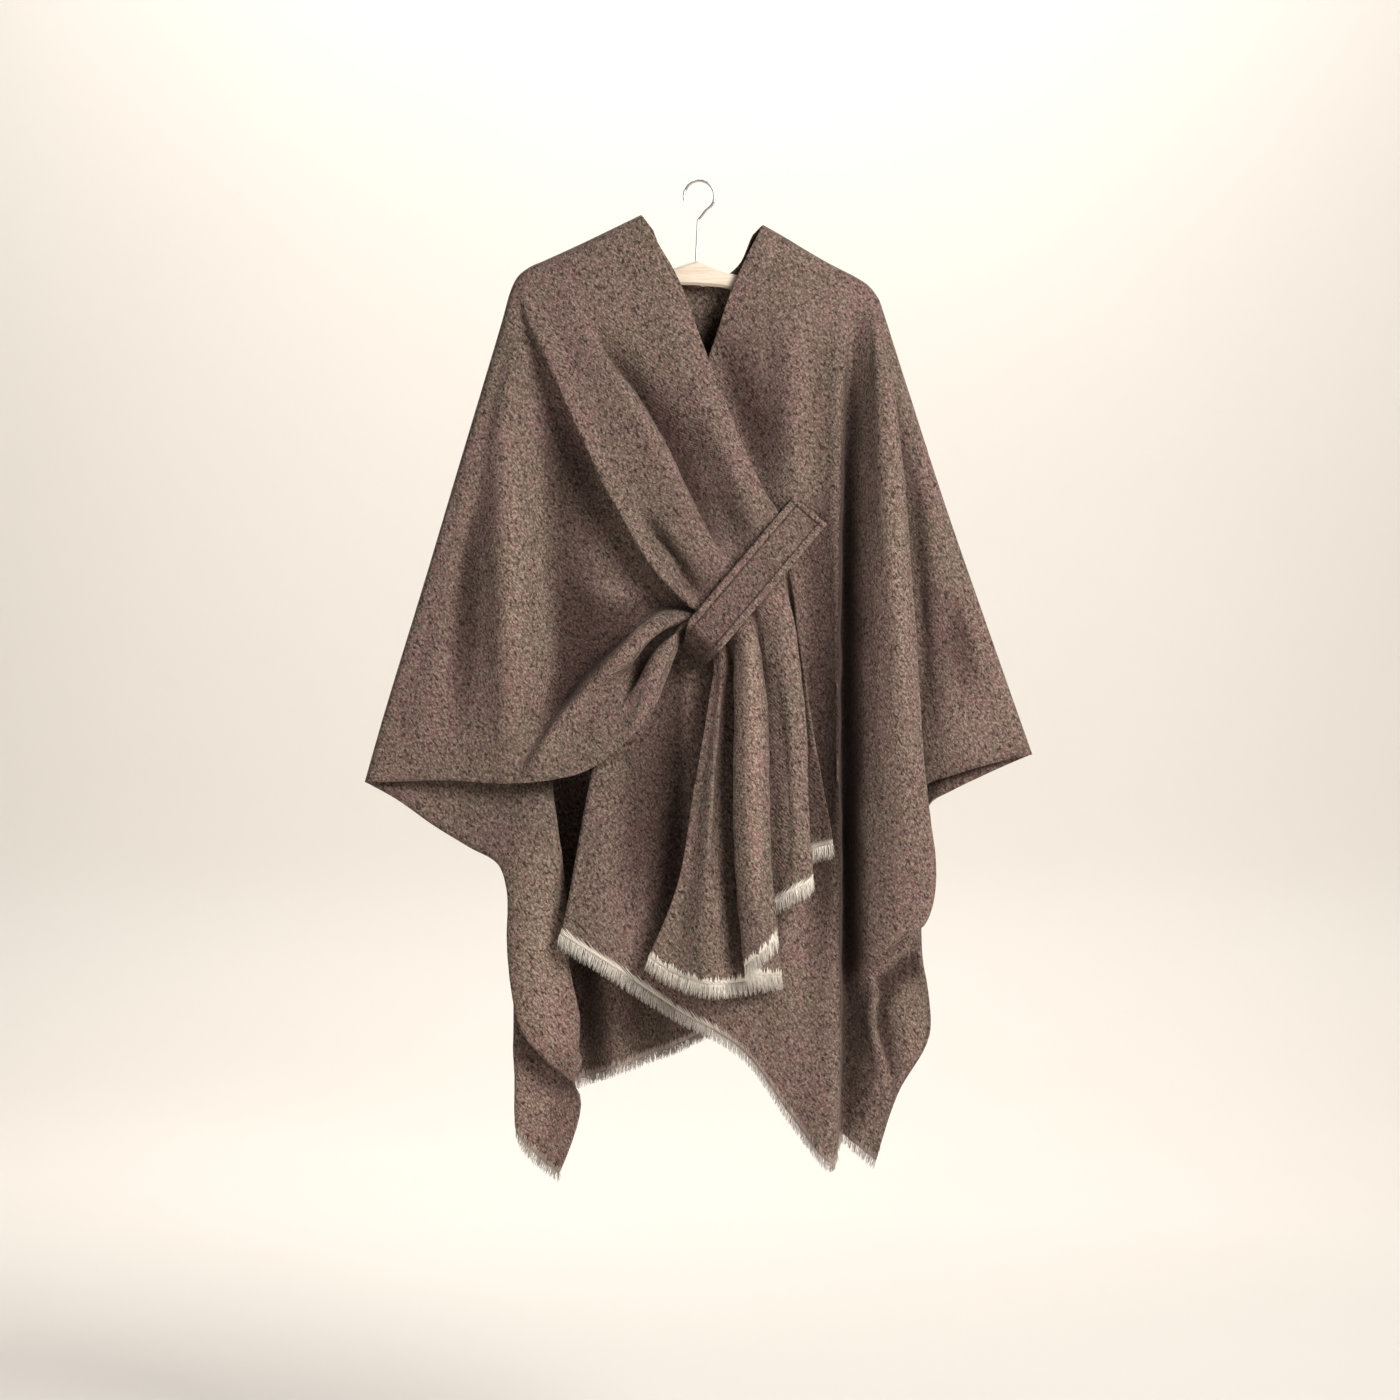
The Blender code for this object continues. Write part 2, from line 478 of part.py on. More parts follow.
def hanger_outline():
    """The hanger's edge, once round: out over one arm, round its tip and back under."""
    tip = [
        (
            HANGER_TIP[0] + HANGER_TIP_RADIUS * math.cos(angle),
            HANGER_TIP[1] - HANGER_TIP_RADIUS * math.sin(angle),
        )
        for angle in np.radians((70, 35, 0, -35, -70))
    ]
    half = [*HANGER_TOP, *tip, *HANGER_UNDER]
    mirrored = [(-across, drop) for across, drop in reversed(half[1:-1])]
    return half + mirrored


def hanger(finish, collection):
    """The wooden hanger: a flat outline with softened edges."""
    flat = bpy.data.curves.new("hanger", "CURVE")
    flat.dimensions = "2D"
    flat.fill_mode = "BOTH"
    flat.extrude = (HANGER_THICKNESS / 2 - HANGER_EDGE) * MM
    flat.bevel_depth = HANGER_EDGE * MM
    flat.offset = -HANGER_EDGE * MM
    flat.bevel_resolution = 0
    outline = hanger_outline()
    spline = flat.splines.new("POLY")
    spline.points.add(len(outline) - 1)
    for point, (across, drop) in zip(spline.points, outline):
        x, z = tilted(across, drop)
        point.co = (x, z, 0.0, 1.0)
    spline.use_cyclic_u = True
    flat.materials.append(finish)
    made = bpy.data.objects.new("hanger", flat)
    made.rotation_euler = (math.radians(90), 0.0, 0.0)
    collection.objects.link(made)


def hook(finish, collection):
    """The wire hook. Its stem ends just over the hanger's crown, and its seat is the origin."""
    radius = HOOK_BEND + HOOK_WIRE / 2
    bend = [
        (radius * math.cos(angle), HOOK_BEND - radius * math.sin(angle))
        for angle in np.radians(np.arange(200, -61, -20))
    ]
    foot = HANGER_TOP[0][1] - 0.3
    stem = [(0.0, 38.0), (0.0, 46.0), (0.0, foot)]
    wire = bpy.data.curves.new("hook", "CURVE")
    wire.dimensions = "3D"
    wire.bevel_depth = HOOK_WIRE / 2 * MM
    wire.bevel_resolution = 2
    wire.use_fill_caps = True
    line = curve_through([(x, z, 0.0) for x, z in [*bend, *stem]], [1] * (len(bend) + 2))
    spline = wire.splines.new("POLY")
    spline.points.add(len(line) - 1)
    for point, (across, drop, _) in zip(spline.points, line):
        x, z = tilted(across, drop)
        point.co = (x, 0.0, z, 1.0)
    wire.materials.append(finish)
    collection.objects.link(bpy.data.objects.new("hook", wire))


def main():
    clear_scene()
    collection = bpy.data.collections.new("wrap_poncho")
    bpy.context.scene.collection.children.link(collection)
    tweed = material("tweed", TWEED, 0.9)
    cream = material("cream_fringe", CREAM, 0.9)
    wood = material("pale_wood", PALE_WOOD, 0.55)
    steel = material("steel", STEEL, 0.35, 1.0)
    panels = (
        ("back", BACK, -1),
        ("right_front", crossing_rows(), 1),
        ("left_front", UNDER_FRONT, 1),
    )
    for name, rows, side in panels:
        hem, tips = panel(name, rows, side, tweed, collection)
        fringe(name + "_fringe", hem, tips, cream, collection)
    strap(tweed, collection)
    hanger(wood, collection)
    hook(steel, collection)


main()
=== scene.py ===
# %% [markdown]
# # A woven wool wrap on its hanger
#
# The garment is one wide cloth, folded over the shoulders and slit up the middle of the
# front. Its right front is drawn across and through a strap loop on the left front. This
# lesson dresses the packed solids: it lays finer cloth on the same lines, presses the
# creases in one by one, and weaves the finish from nodes.
#
# The packed model is loaded first and is never moved, so every piece below can be placed
# by the same measurements as the solids.

# %% Load the packed model
import math

import bpy
import numpy as np
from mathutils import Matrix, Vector, noise
from mathutils.bvhtree import BVHTree

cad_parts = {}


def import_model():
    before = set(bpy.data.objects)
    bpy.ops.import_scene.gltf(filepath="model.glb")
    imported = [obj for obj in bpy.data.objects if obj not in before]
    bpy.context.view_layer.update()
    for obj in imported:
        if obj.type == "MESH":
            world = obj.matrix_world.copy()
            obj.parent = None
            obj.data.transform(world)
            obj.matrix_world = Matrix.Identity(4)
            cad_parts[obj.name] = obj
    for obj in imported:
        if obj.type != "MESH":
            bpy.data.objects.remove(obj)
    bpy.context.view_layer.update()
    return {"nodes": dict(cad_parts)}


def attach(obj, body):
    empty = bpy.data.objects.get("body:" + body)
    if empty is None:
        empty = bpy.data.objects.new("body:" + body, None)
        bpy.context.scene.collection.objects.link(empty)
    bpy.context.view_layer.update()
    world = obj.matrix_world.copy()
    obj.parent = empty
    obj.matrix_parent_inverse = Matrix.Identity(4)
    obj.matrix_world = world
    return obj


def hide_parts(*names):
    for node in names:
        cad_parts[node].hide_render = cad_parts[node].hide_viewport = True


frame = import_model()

# %% [markdown]
# ## Measurements
#
# A garment hung flat is easiest to measure as it is seen: how far across from the hook,
# how far down from the neck, and how far proud of the hanger. All tables below are in
# those three numbers, in millimetres, and `world` turns them into the scene's metres.

# %% Units
MM = 0.001
# The neck lies this far below the hook's seat, which is the scene's origin.
HOOK_RISE = 22.0


def world(places):
    """Scene points, in metres, from (across, down, proud) in millimetres."""
    places = np.asarray(places, float)
    return np.stack(
        [places[..., 0] * MM, -places[..., 2] * MM, -(places[..., 1] + HOOK_RISE) * MM],
        axis=-1,
    )


print("the hook's seat is", world((0, -HOOK_RISE, 0)))

# %% [markdown]
# ## The camera
#
# The photograph is taken square on and from far off, so nothing converges. A long lens
# nearly four metres away keeps the sides parallel, and one pixel of a picture 1400 wide
# is one millimetre on the cloth.

# %% Camera
def placed(name, data):
    """New data as an object in the scene."""
    made = bpy.data.objects.new(name, data)
    bpy.context.scene.collection.objects.link(made)
    return made


eye = placed("eye", bpy.data.cameras.new("eye"))
eye.data.lens = 100.0
eye.data.sensor_width = 36.0
eye.location = (0.0, -3.919, -0.522)
eye.rotation_euler = (math.radians(90), 0.0, 0.0)
bpy.context.scene.camera = eye
print("camera at", tuple(eye.location))

# %% [markdown]
# ## The lines of the cloth
#
# Each panel is a fan of lines that run from the shoulder fold to the tip of the fringe.
# A line is a thread of the cloth, so the places where two neighbouring lines draw
# together are the gathers, and where they step behind each other the cloth is folded.
# The right front has its upper part, its passage through the loop, and its tail.

# %% Lines of the right front
def places(text):
    """Tuples of numbers from text such as "12 30, 14 38 2"."""
    return [tuple(map(float, place.split())) for place in text.split(",")]


def rows_of(text):
    """A table's rows. Its notes are left out, and a comma at a line's end carries it on."""
    rows = text.strip().replace(",\n", ",").splitlines()
    return [row for row in rows if not row.startswith("#")]


def table(text):
    """Each row of a table as its name and its places."""
    named = [row.split(":") for row in rows_of(text)]
    return [(name, *places(cells)) for name, cells in named]


# The right front crosses over. Each row is a line of its cloth, in order from the front
# edge to the selvedge of the wing, and in three parts. The first runs from the shoulder fold
# down to the loop: on the fold a place is across and down, and elsewhere across, down and
# proud. The second says where the line lies in the loop, measured along the strap from its
# stitched end. The third falls below the loop in stepped folds.
CROSSING_FRONT = """
# line: shoulder fold, neck, collar, chest, ribs, bust
# | going in, proud, midway, proud, coming out, proud | hip, thigh, knee, fringe tip
front edge: -59 12, -41 43 13, -22 77 18, 7 155 28, 41 240 36,
 65 293 39 | 24 37 44 38 58 42 | 109 507 50, 122 585 48, 130 628 48, 134 658 48
lapel ridge: -90 27, -72 62 15, -52 100 22, -16 168 32, 22 245 43,
 48 305 48 | 50 47 58 47 64 40 | 96 502 42, 100 585 42, 101 638 43, 101 670 43
lapel trough: -117 40, -100 75 15, -80 112 22, -45 185 29, -4 256 31,
 23 316 37 | 82 43 76 45 72 46 | 102 490 51, 107 596 54, 110 652 56, 112 692 56
lapel fold: -135 48, -119 83 16, -98 125 24, -63 195 34, -27 266 43,
 7 328 50 | 91 51 90 51 88 52 | 87 492 58, 89 596 62, 92 662 64, 92 704 64
band: -154 57, -138 97 16, -117 143 25, -83 212 36, -48 284 46,
 -10 348 52 | 113 51 110 51 106 50 | 73 494 50, 74 596 51, 75 668 53, 76 714 54
band trough: -170 65, -155 108 15, -135 158 24, -103 228 35, -69 300 43,
 -29 366 46 | 136 47 126 46 117 44 | 60 496 46, 60 596 50, 61 672 55, 63 727 56
band edge: -183 73, -173 115 15, -154 158 25, -122 230 38, -88 300 47,
 -49 365 52 | 150 51 136 51 124 50 | 65 490 57, 68 596 63, 71 678 68, 77 746 69
under band: -189 84, -176 122 9, -153 162 12, -110 230 19, -72 297 26,
 -32 362 33 | 140 38 141 43 136 53 | 50 492 65, 52 596 73, 56 682 78, 62 764 79
wing inner: -199 120, -186 152 10, -168 200 13, -137 262 17, -100 330 21,
 -52 388 28 | 146 35 148 42 146 48 | 34 496 57, 33 596 63, 37 684 67, 45 780 67
wing middle: -222 197, -203 230 10, -176 275 14, -138 335 20, -96 390 26,
 -50 412 31 | 151 40 153 41 152 42 | 38 500 46, 42 600 49, 49 686 51, 60 788 52
swag ridge: -248 284, -226 318 10, -195 365 17, -148 422 26, -94 462 38,
 -50 434 45 | 156 45 158 42 156 38 | 42 504 37, 53 604 39, 72 688 40, 82 789 41
swag pocket: -275 375, -250 407 10, -214 450 16, -155 495 25, -96 490 31,
 -52 452 34 | 160 41 162 41 161 41 | 27 506 40, 26 606 42, 30 692 44, 38 796 44
swag lip: -298 450, -268 475 10, -225 506 15, -162 535 24, -99 517 36,
 -50 471 43 | 164 43.5 166 41.5 166 43 | 20 503 47, 12 602 56, 10 690 60, 8 797 60
swag foot: -318 516, -286 532 8, -242 550 13, -176 566 22, -104 545 34,
 -49 490 41 | 168 40 170 38.5 170 40 | 14 502 42, 0 600 46, -13 688 47, -30 786 47
selvedge: -337 583, -300 582 6, -255 581 10, -185 583 19, -110 569 32,
 -48 510 38 | 172 35 174.5 34.5 175 36 | 9 500 40, -7 595 43, -22 682 48, -57 769 50
"""

print("right front:", len(rows_of(CROSSING_FRONT)), "lines")

# %% [markdown]
# The left front lies under and carries the strap. On its outer side it stands up in a
# long ridge, drops in a fold over itself, and ends in a narrow point.

# %% Lines of the left front
UNDER_FRONT = table("""
# line: shoulder fold, neck, chest, ribs, waist, hip, thigh, over the drop fold,
# under the drop fold, shin, ankle, fringe tip
front edge: 63 22, 35 80 13, 10 150 18, -22 250 20, -55 360 18, -88 480 16, -108 570 16,
 -121 638 20, -126 666 23, -132 700 25, -138 726 26, -144 748 26
neck fold: 74 28, 55 100 20, 38 180 22, 16 280 20, -6 390 16, -32 500 15, -50 590 17,
 -62 660 20, -66 690 21, -72 732 22, -77 762 22, -82 787 22
soft trough: 86 35, 74 110 24, 62 195 22, 48 290 18, 30 400 14, 12 510 12, -2 610 12,
 -10 685 13, -13 715 13, -18 762 14, -21 795 14, -24 824 14
strap ridge: 104 46, 98 120 29, 96 205 30, 93 300 27, 85 410 22, 76 520 20, 68 620 22,
 61 700 24, 58 735 25, 52 790 27, 47 828 27, 42 861 27
flat: 128 60, 126 125 28, 124 205 28, 123 300 26, 124 420 22, 122 540 20, 117 650 22,
 111 730 24, 108 765 26, 102 835 29, 97 885 30, 90 926 30
trough lip: 146 69, 144 130 27, 141 210 27, 139 310 28, 138 430 28, 139 560 28, 139 670 30,
 138 750 32, 138 785 33, 137 860 35, 135 920 36, 130 972 36
deep trough: 157 75, 153 138 18, 148 218 8, 145 320 0, 144 445 -5, 144 575 -7, 145 680 -7,
 145 755 -5, 145 790 -3, 145 860 1, 144 905 6, 142 946 10
ridge flank: 167 83, 168 142 27, 167 225 27, 166 325 28, 166 450 28, 166 585 28, 167 690 30,
 169 762 26, 172 762 15, 170 850 8, 162 905 10, 152 954 10
ridge crown: 173 88, 177 148 36, 182 232 41, 187 332 44, 193 455 46, 199 590 48, 203 685 48,
 199 740 40, 197 735 20, 189 845 10, 175 903 10, 160 960 10
ridge fold: 178 96, 187 158 33, 197 242 37, 207 345 40, 216 460 42, 226 595 42, 235 680 40,
 225 722 32, 213 726 17, 203 840 10, 183 901 10, 165 965 10
behind ridge: 183 108, 184 168 18, 189 255 14, 195 355 12, 201 468 11, 208 595 10, 214 678 8,
 210 704 9, 209 726 8, 213 838 8, 188 900 10, 168 967 10
wing inner: 200 160, 208 220 15, 214 295 13, 218 385 10, 220 490 8, 215 595 2, 216 672 0,
 215 712 2, 216 738 4, 220 836 6, 192 899 9, 170 969 10
wing middle: 245 300, 245 360 12, 242 420 14, 236 490 12, 226 550 6, 213 602 -3, 217 676 -4,
 219 718 -2, 220 746 0, 225 836 4, 195 898 8, 172 970 10
wing outer: 290 430, 278 465 11, 262 505 12, 245 540 10, 228 572 3, 212 606 -6, 218 680 -6,
 220 722 -4, 221 750 -2, 228 836 3, 197 897 8, 173 971 10
selvedge: 334 555, 305 561 5, 275 569 7, 250 577 5, 229 585 0, 211 612 -9, 219 684 -8,
 222 726 -6, 223 754 -4, 231 836 2, 199 896 8, 174 972 10
""")

print("left front:", len(UNDER_FRONT), "lines")

# %% [markdown]
# The back falls from the shoulders in soft vertical folds, and its two sides are drawn
# forward under the wings, where they show as the long points beside the fronts.

# %% Lines of the back
# The back, from the selvedge under the right wing to the one under the left wing.
BACK = table("""
# line: shoulder fold or neckline, blade, ribs, waist, seat, thigh, knee, calf, shin,
# ankle, fringe tip
right selvedge: -337 583, -305 601 -5, -270 626 -7, -234 648 -6, -203 666 -2, -193 692 2,
 -192 760 6, -179 830 9, -150 866 9, -121 897 6, -144 986 -6
drape crown: -312 500, -275 525 -8, -238 557 -10, -205 590 -8, -180 630 3, -168 690 9,
 -166 760 11, -149 830 12, -121 862 9, -132 890 -2, -154 980 -9
drape fold: -288 420, -250 455 -9, -212 500 -12, -180 545 -10, -152 600 0, -138 680 4,
 -133 760 5, -123 825 0, -127 860 -7, -144 890 -10, -167 970 -12
drape middle: -263 335, -225 380 -10, -190 440 -14, -164 500 -16, -150 590 -14, -154 680 -12,
 -156 760 -10, -152 820 -9, -157 853 -9, -164 885 -10, -179 958 -12
drape root: -238 250, -204 310 -11, -176 390 -17, -162 470 -22, -172 580 -24, -184 680 -20,
 -188 760 -16, -188 820 -13, -188 850 -12, -187 880 -12, -185 940 -13
right turn: -213 168, -188 240 -13, -167 340 -21, -157 450 -29, -157 570 -37, -162 680 -42,
 -164 760 -44, -163 815 -44, -162 842 -44, -160 870 -44, -155 912 -43
right ridge: -191 92, -178 170 -16, -160 280 -25, -144 410 -35, -132 560 -50, -128 680 -62,
 -126 755 -65, -124 805 -64, -123 830 -64, -122 855 -64, -118 896 -65
right trough: -165 62, -155 150 -19, -138 260 -27, -118 390 -34, -100 550 -39, -92 670 -41,
 -89 745 -39, -87 795 -38, -86 820 -38, -86 845 -38, -84 883 -39
blade ridge: -110 36, -102 130 -21, -88 240 -28, -72 370 -35, -60 540 -43, -55 660 -52,
 -52 735 -54, -51 785 -55, -50 808 -55, -50 830 -55, -49 871 -56
right neck: -59 12, -55 115 -20, -46 230 -28, -36 360 -30, -28 530 -29, -24 650 -26,
 -22 725 -24, -21 775 -24, -20 796 -24, -20 818 -24, -19 857 -24
neck curve right: -33 59 -9, -27 135 -20, -19 235 -27, -12 360 -30, -7 525 -33, -5 645 -37,
 -4 720 -37, -4 770 -35, -4 791 -35, -3 812 -35, -3 850 -37
centre back: 3 82 -13, 4 150 -20, 6 240 -26, 8 360 -30, 10 520 -35, 11 640 -43, 11 715 -48,
 11 765 -49, 11 785 -49, 11 805 -49, 11 845 -50
neck curve left: 38 62 -9, 36 138 -20, 36 238 -27, 38 360 -29, 41 525 -26, 43 645 -24,
 44 720 -24, 44 770 -24, 44 791 -24, 44 812 -24, 44 852 -24
left neck: 63 22, 64 118 -20, 66 230 -28, 68 360 -34, 72 528 -43, 75 648 -52, 76 725 -56,
 76 775 -57, 76 796 -57, 76 818 -57, 76 862 -59
left trough: 112 48, 110 135 -21, 106 240 -27, 102 370 -29, 100 535 -26, 102 658 -24,
 103 735 -24, 103 785 -24, 103 806 -24, 103 828 -24, 103 875 -24
left ridge: 158 75, 150 155 -19, 142 265 -27, 134 390 -36, 128 545 -52, 129 670 -64,
 129 745 -68, 129 795 -68, 129 818 -68, 129 840 -68, 128 890 -68
left valley: 178 96, 170 175 -15, 162 285 -23, 152 410 -29, 146 555 -31, 148 680 -28,
 150 755 -24, 150 805 -24, 150 828 -24, 149 850 -24, 146 908 -24
wing ridge: 205 175, 194 250 -13, 184 345 -22, 174 455 -34, 168 570 -50, 168 685 -62,
 168 762 -63, 168 815 -60, 167 838 -57, 166 860 -55, 158 922 -52
wing valley: 238 280, 222 340 -11, 208 410 -19, 196 490 -23, 188 585 -26, 186 685 -26,
 186 765 -24, 184 820 -24, 182 844 -24, 180 868 -24, 166 934 -24
wing middle: 270 373, 252 425 -10, 236 480 -14, 220 535 -20, 208 600 -25, 203 690 -27,
 200 770 -28, 197 828 -28, 193 853 -28, 189 878 -27, 172 944 -26
wing outer: 302 465, 282 500 -8, 262 535 -10, 242 570 -13, 225 615 -18, 212 695 -23,
 206 775 -24, 202 835 -24, 198 862 -24, 193 888 -23, 176 952 -22
left selvedge: 334 555, 308 566 -4, 282 578 -6, 255 591 -7, 230 606 -10, 218 660 -17,
 212 745 -19, 208 820 -19, 204 855 -18, 199 890 -18, 180 958 -17
""")

print("back:", len(BACK), "lines")

# %% [markdown]
# The strap has a line of its own, and the shoulder fold is shared by all panels, so that
# they meet on it.

# %% Lines of the strap and the shoulders
# The strap's own line: from the stitched end, over the gathers, round them and back under.
# It narrows from the left where it turns back. Each place is along, proud, left edge and
# right edge.
STRAP_LINE = places("""
-1 30.15 -21 21, 10 31.1 -21 21, 24 43 -21 21, 40 53 -21 21, 62 59 -21 21, 90 61 -21 21,
 125 61 -21 21, 150 60 -21 21, 163 57.5 -21 21, 173 52 -16 21, 181 45 -11 20, 184 36 -8 19,
 179 26.5 -6 19, 166 20.9 -5 20, 148 18.2 -5 21
""")

# The shoulder fold on each side, from the neck out to the wing tip, on which panels meet.
SHOULDER_RIGHT = places("""
-59 12, -90 27, -117 40, -154 57, -172 65, -183 74, -190 88, -199 120, -222 197, -248 284,
 -275 375, -318 516, -337 583
""")
SHOULDER_LEFT = places("""
63 22, 86 35, 104 46, 128 60, 157 75, 169 83, 179 96, 185 113, 200 160, 245 300, 290 430, 334 555
""")
print("shoulder fold points:", len(SHOULDER_RIGHT), "and", len(SHOULDER_LEFT))

# %% [markdown]
# ## From lines to cloth
#
# A curve through each line gives the fall of the thread, and a curve across all of them
# gives the weft. The tangents follow the square roots of the spans, which keeps a tight fold
# round and stops it from looping over. The solids use the same curves at wide steps. Here
# they are stepped every few millimetres.

# %% Curves
def curve_through(points, steps):
    """A smooth curve through the points, with the given number of steps in each span."""
    points = np.asarray(points, float)
    chords = np.linalg.norm(np.diff(points, axis=0), axis=1)
    spans = np.sqrt(np.maximum(chords, 1e-6))
    slopes = np.diff(points, axis=0) / spans[:, None]
    tangents = np.empty_like(points)
    before, after = spans[:-1, None], spans[1:, None]
    tangents[1:-1] = (slopes[:-1] * after + slopes[1:] * before) / (before + after)
    tangents[0] = 1.5 * slopes[0] - 0.5 * tangents[1]
    tangents[-1] = 1.5 * slopes[-1] - 0.5 * tangents[-2]
    made = [points[:1]]
    for i, count in enumerate(steps):
        t = (np.arange(1, count + 1) / count)[:, None]
        start, end = points[i], points[i + 1]
        out, into = tangents[i] * spans[i], tangents[i + 1] * spans[i]
        made.append(
            (2 * t**3 - 3 * t**2 + 1) * start
            + (t**3 - 2 * t**2 + t) * out
            + (3 * t**2 - 2 * t**3) * end
            + (t**3 - t**2) * into
        )
    return np.concatenate(made)


def run_along(points):
    """How far along a curve each of its points is."""
    steps = np.linalg.norm(np.diff(points, axis=0), axis=1)
    return np.concatenate([[0.0], np.cumsum(steps)])


def steps_for(lengths, step, least=1):
    """How many steps of about this length each span takes."""
    return [max(least, round(length / step)) for length in lengths]


def counted(steps):
    """For each point of a curve, the span it lies in and how far along it."""
    parts = [i + np.arange(1, n + 1) / n for i, n in enumerate(steps)]
    return np.concatenate([[0.0], *parts])


print("the strap's line is", round(run_along(STRAP_LINE)[-1]), "mm from place to place")

# %% [markdown]
# Every line starts in a small roll over the shoulder, or leans out from the cut neckline,
# and ends where the bare warp starts. Between its lines a panel's top would bow off the
# shoulder fold, so it is moved onto it, and the panels meet in one fine seam.

# %% The start and end of each line
# Half the seam between two panels on the shoulder fold.
HALF_SEAM = 0.65
# How round the fold is beside the neck and at the wing's tip, and the angles at which its
# roll is stepped. A cut neckline leans out by a share of the way along its roll.
SHOULDER_ROLL = 8.0
WING_TIP_ROLL = 4.5
ROLL_ANGLES = (0.0, 40.0, 90.0)
NECK_LEAN = 0.25
# The warp is bare over the fringe's length, or less where the fringe is worn off.
FRINGE = 15.0
WORN_OFF = 5.5
# A top within the leeway of the fold is moved onto it, and the cloth under it follows down to
# a station, by less and less over the last few.
NECK_LEEWAY = 9.0
FOLD_REACH = 4.0
FOLD_FADE = 2.0


def rolled_top(top, below, share, side):
    """The points with which a line leaves the shoulder fold, or the cut neckline."""
    start = np.array(top[:2])
    way = np.array(below[:2]) - start
    way /= np.linalg.norm(way)
    radius = SHOULDER_ROLL + (WING_TIP_ROLL - SHOULDER_ROLL) * share
    made = []
    for angle in np.radians(ROLL_ANGLES):
        if len(top) == 3:
            across, down = start + way * radius * angle
            made.append((across, down, top[2] + NECK_LEAN * side * radius * angle))
        else:
            across, down = start + way * radius * (1 - math.cos(angle))
            made.append((across, down, side * (HALF_SEAM + radius * math.sin(angle))))
    return made


def cloth_lines(rows, side, wear):
    """Every line of a panel from the shoulder fold to the cloth's end, and the tips. Where
    the fringe is worn short, the cloth ends nearer to its tips."""
    tops = np.array([row[1][:2] for row in rows])
    neck = np.argmin(np.abs(tops[:, 0]))
    along = np.abs(tops[:, 0] - tops[neck, 0]) + np.abs(tops[:, 1] - tops[neck, 1])
    lines, tips = [], []
    for row, distance in zip(rows, along):
        start = rolled_top(row[1], row[2], min(1.0, distance / along.max()), side)
        above, tip = np.array(row[-2]), np.array(row[-1])
        reach = FRINGE - WORN_OFF * np.interp(tip[0], *wear)
        end = tip + (above - tip) * (reach / np.linalg.norm(above - tip))
        lines.append([*start, *row[2:-1], end])
        tips.append(tip)
    return np.array(lines), np.array(tips)


def onto_fold(points, station, fold):
    """Moves a panel's top so that it lies on the shoulder fold that panels share."""
    starts, spans = fold[:-1], np.diff(fold, axis=0)
    part = np.clip((FOLD_REACH - station) / FOLD_FADE, 0.0, 1.0)[:, None]
    for column in points:
        top = column[0, :2]
        share = np.clip(((top - starts) * spans).sum(1) / (spans**2).sum(1), 0, 1)
        nearest = starts + spans * share[:, None]
        move = nearest[np.linalg.norm(nearest - top, axis=1).argmin()] - top
        if np.linalg.norm(move) < NECK_LEEWAY:
            column[:, :2] += part * move
    return points


print("roll:", SHOULDER_ROLL, "mm at the neck and", WING_TIP_ROLL, "mm at the wing's tip")

# %% [markdown]
# A panel keeps its points as columns and rows, and for each of them the line and the
# station that it is on, so that a crease can be placed by them.

# %% Panels of points
# The shoulder fold's steps between two of its places.
FOLD_STEPS = 6
# Steps across follow the width between two lines that three in four rows stay under.
WIDTH_SHARE = 0.75


def unit(vectors):
    """Vectors of length one."""
    return vectors / np.maximum(np.linalg.norm(vectors, axis=-1), 1e-9)[..., None]


def face_way(points):
    """The direction square to a sheet at every point."""
    return unit(np.cross(np.gradient(points, axis=0), np.gradient(points, axis=1)))


class Panel:
    """A panel's points, as columns by rows, and where each lies on its lines."""

    def __init__(self, rows, side, column_step, row_step, wear):
        lines, tips = cloth_lines(rows, side, wear)
        spans = np.linalg.norm(np.diff(lines, axis=1), axis=2).mean(axis=0)
        row_steps = steps_for(spans, row_step)
        down = np.array([curve_through(line, row_steps) for line in lines])
        widths = np.linalg.norm(np.diff(lines[:, 3:], axis=0), axis=2)
        widths = np.quantile(widths, WIDTH_SHARE, axis=1)
        column_steps = steps_for(widths, column_step, least=3)
        weft = [curve_through(down[:, k], column_steps) for k in range(down.shape[1])]
        self.side = side
        self.line, self.station = counted(column_steps), counted(row_steps)
        self.points = np.array(weft).transpose(1, 0, 2)
        for fold in (SHOULDER_RIGHT, SHOULDER_LEFT):
            curve = curve_through(fold, [FOLD_STEPS] * (len(fold) - 1))
            self.points = onto_fold(self.points, self.station, curve)
        self.tips = curve_through(tips, column_steps)
        self.worn = np.interp(self.tips[:, 0], *wear)

    def outward(self):
        """The direction out of the cloth's outer face at every point."""
        out = face_way(self.points)
        return out * (1 if out[:, 4:-4, 2].mean() * self.side > 0 else -1)


print("a panel has", [name for name in vars(Panel) if not name.startswith("__")])

# %% [markdown]
# Where the right front is bunched in the loop, its places are measured along the strap, on
# the loop's one side, in its middle and on its other side.

# %% Three panels
# Where the strap's stitched end is, across and down, the way it runs, and how wide it is.
STRAP_TOP = (110.0, 311.0)
STRAP_WAY = (-0.645, 0.764)
STRAP_WIDTH = 42.0
# How worn a fringe is, from 0 to 1, by how far across it is. The right front's is fresh, the
# back's is short and dull all along, and the left front's is worn towards the wing.
RIGHT_WEAR = ((0,), (0.0,))
BACK_WEAR = ((0,), (0.85,))
LEFT_WEAR = ((-62, -45, 5, 40), (0.0, 0.3, 0.4, 0.9))


def strap_place(along, aside, proud):
    """A point by its distance along the strap, across it and proud of the hanger."""
    across = STRAP_TOP[0] + STRAP_WAY[0] * along + STRAP_WAY[1] * aside
    down = STRAP_TOP[1] + STRAP_WAY[1] * along - STRAP_WAY[0] * aside
    return (across, down, proud)


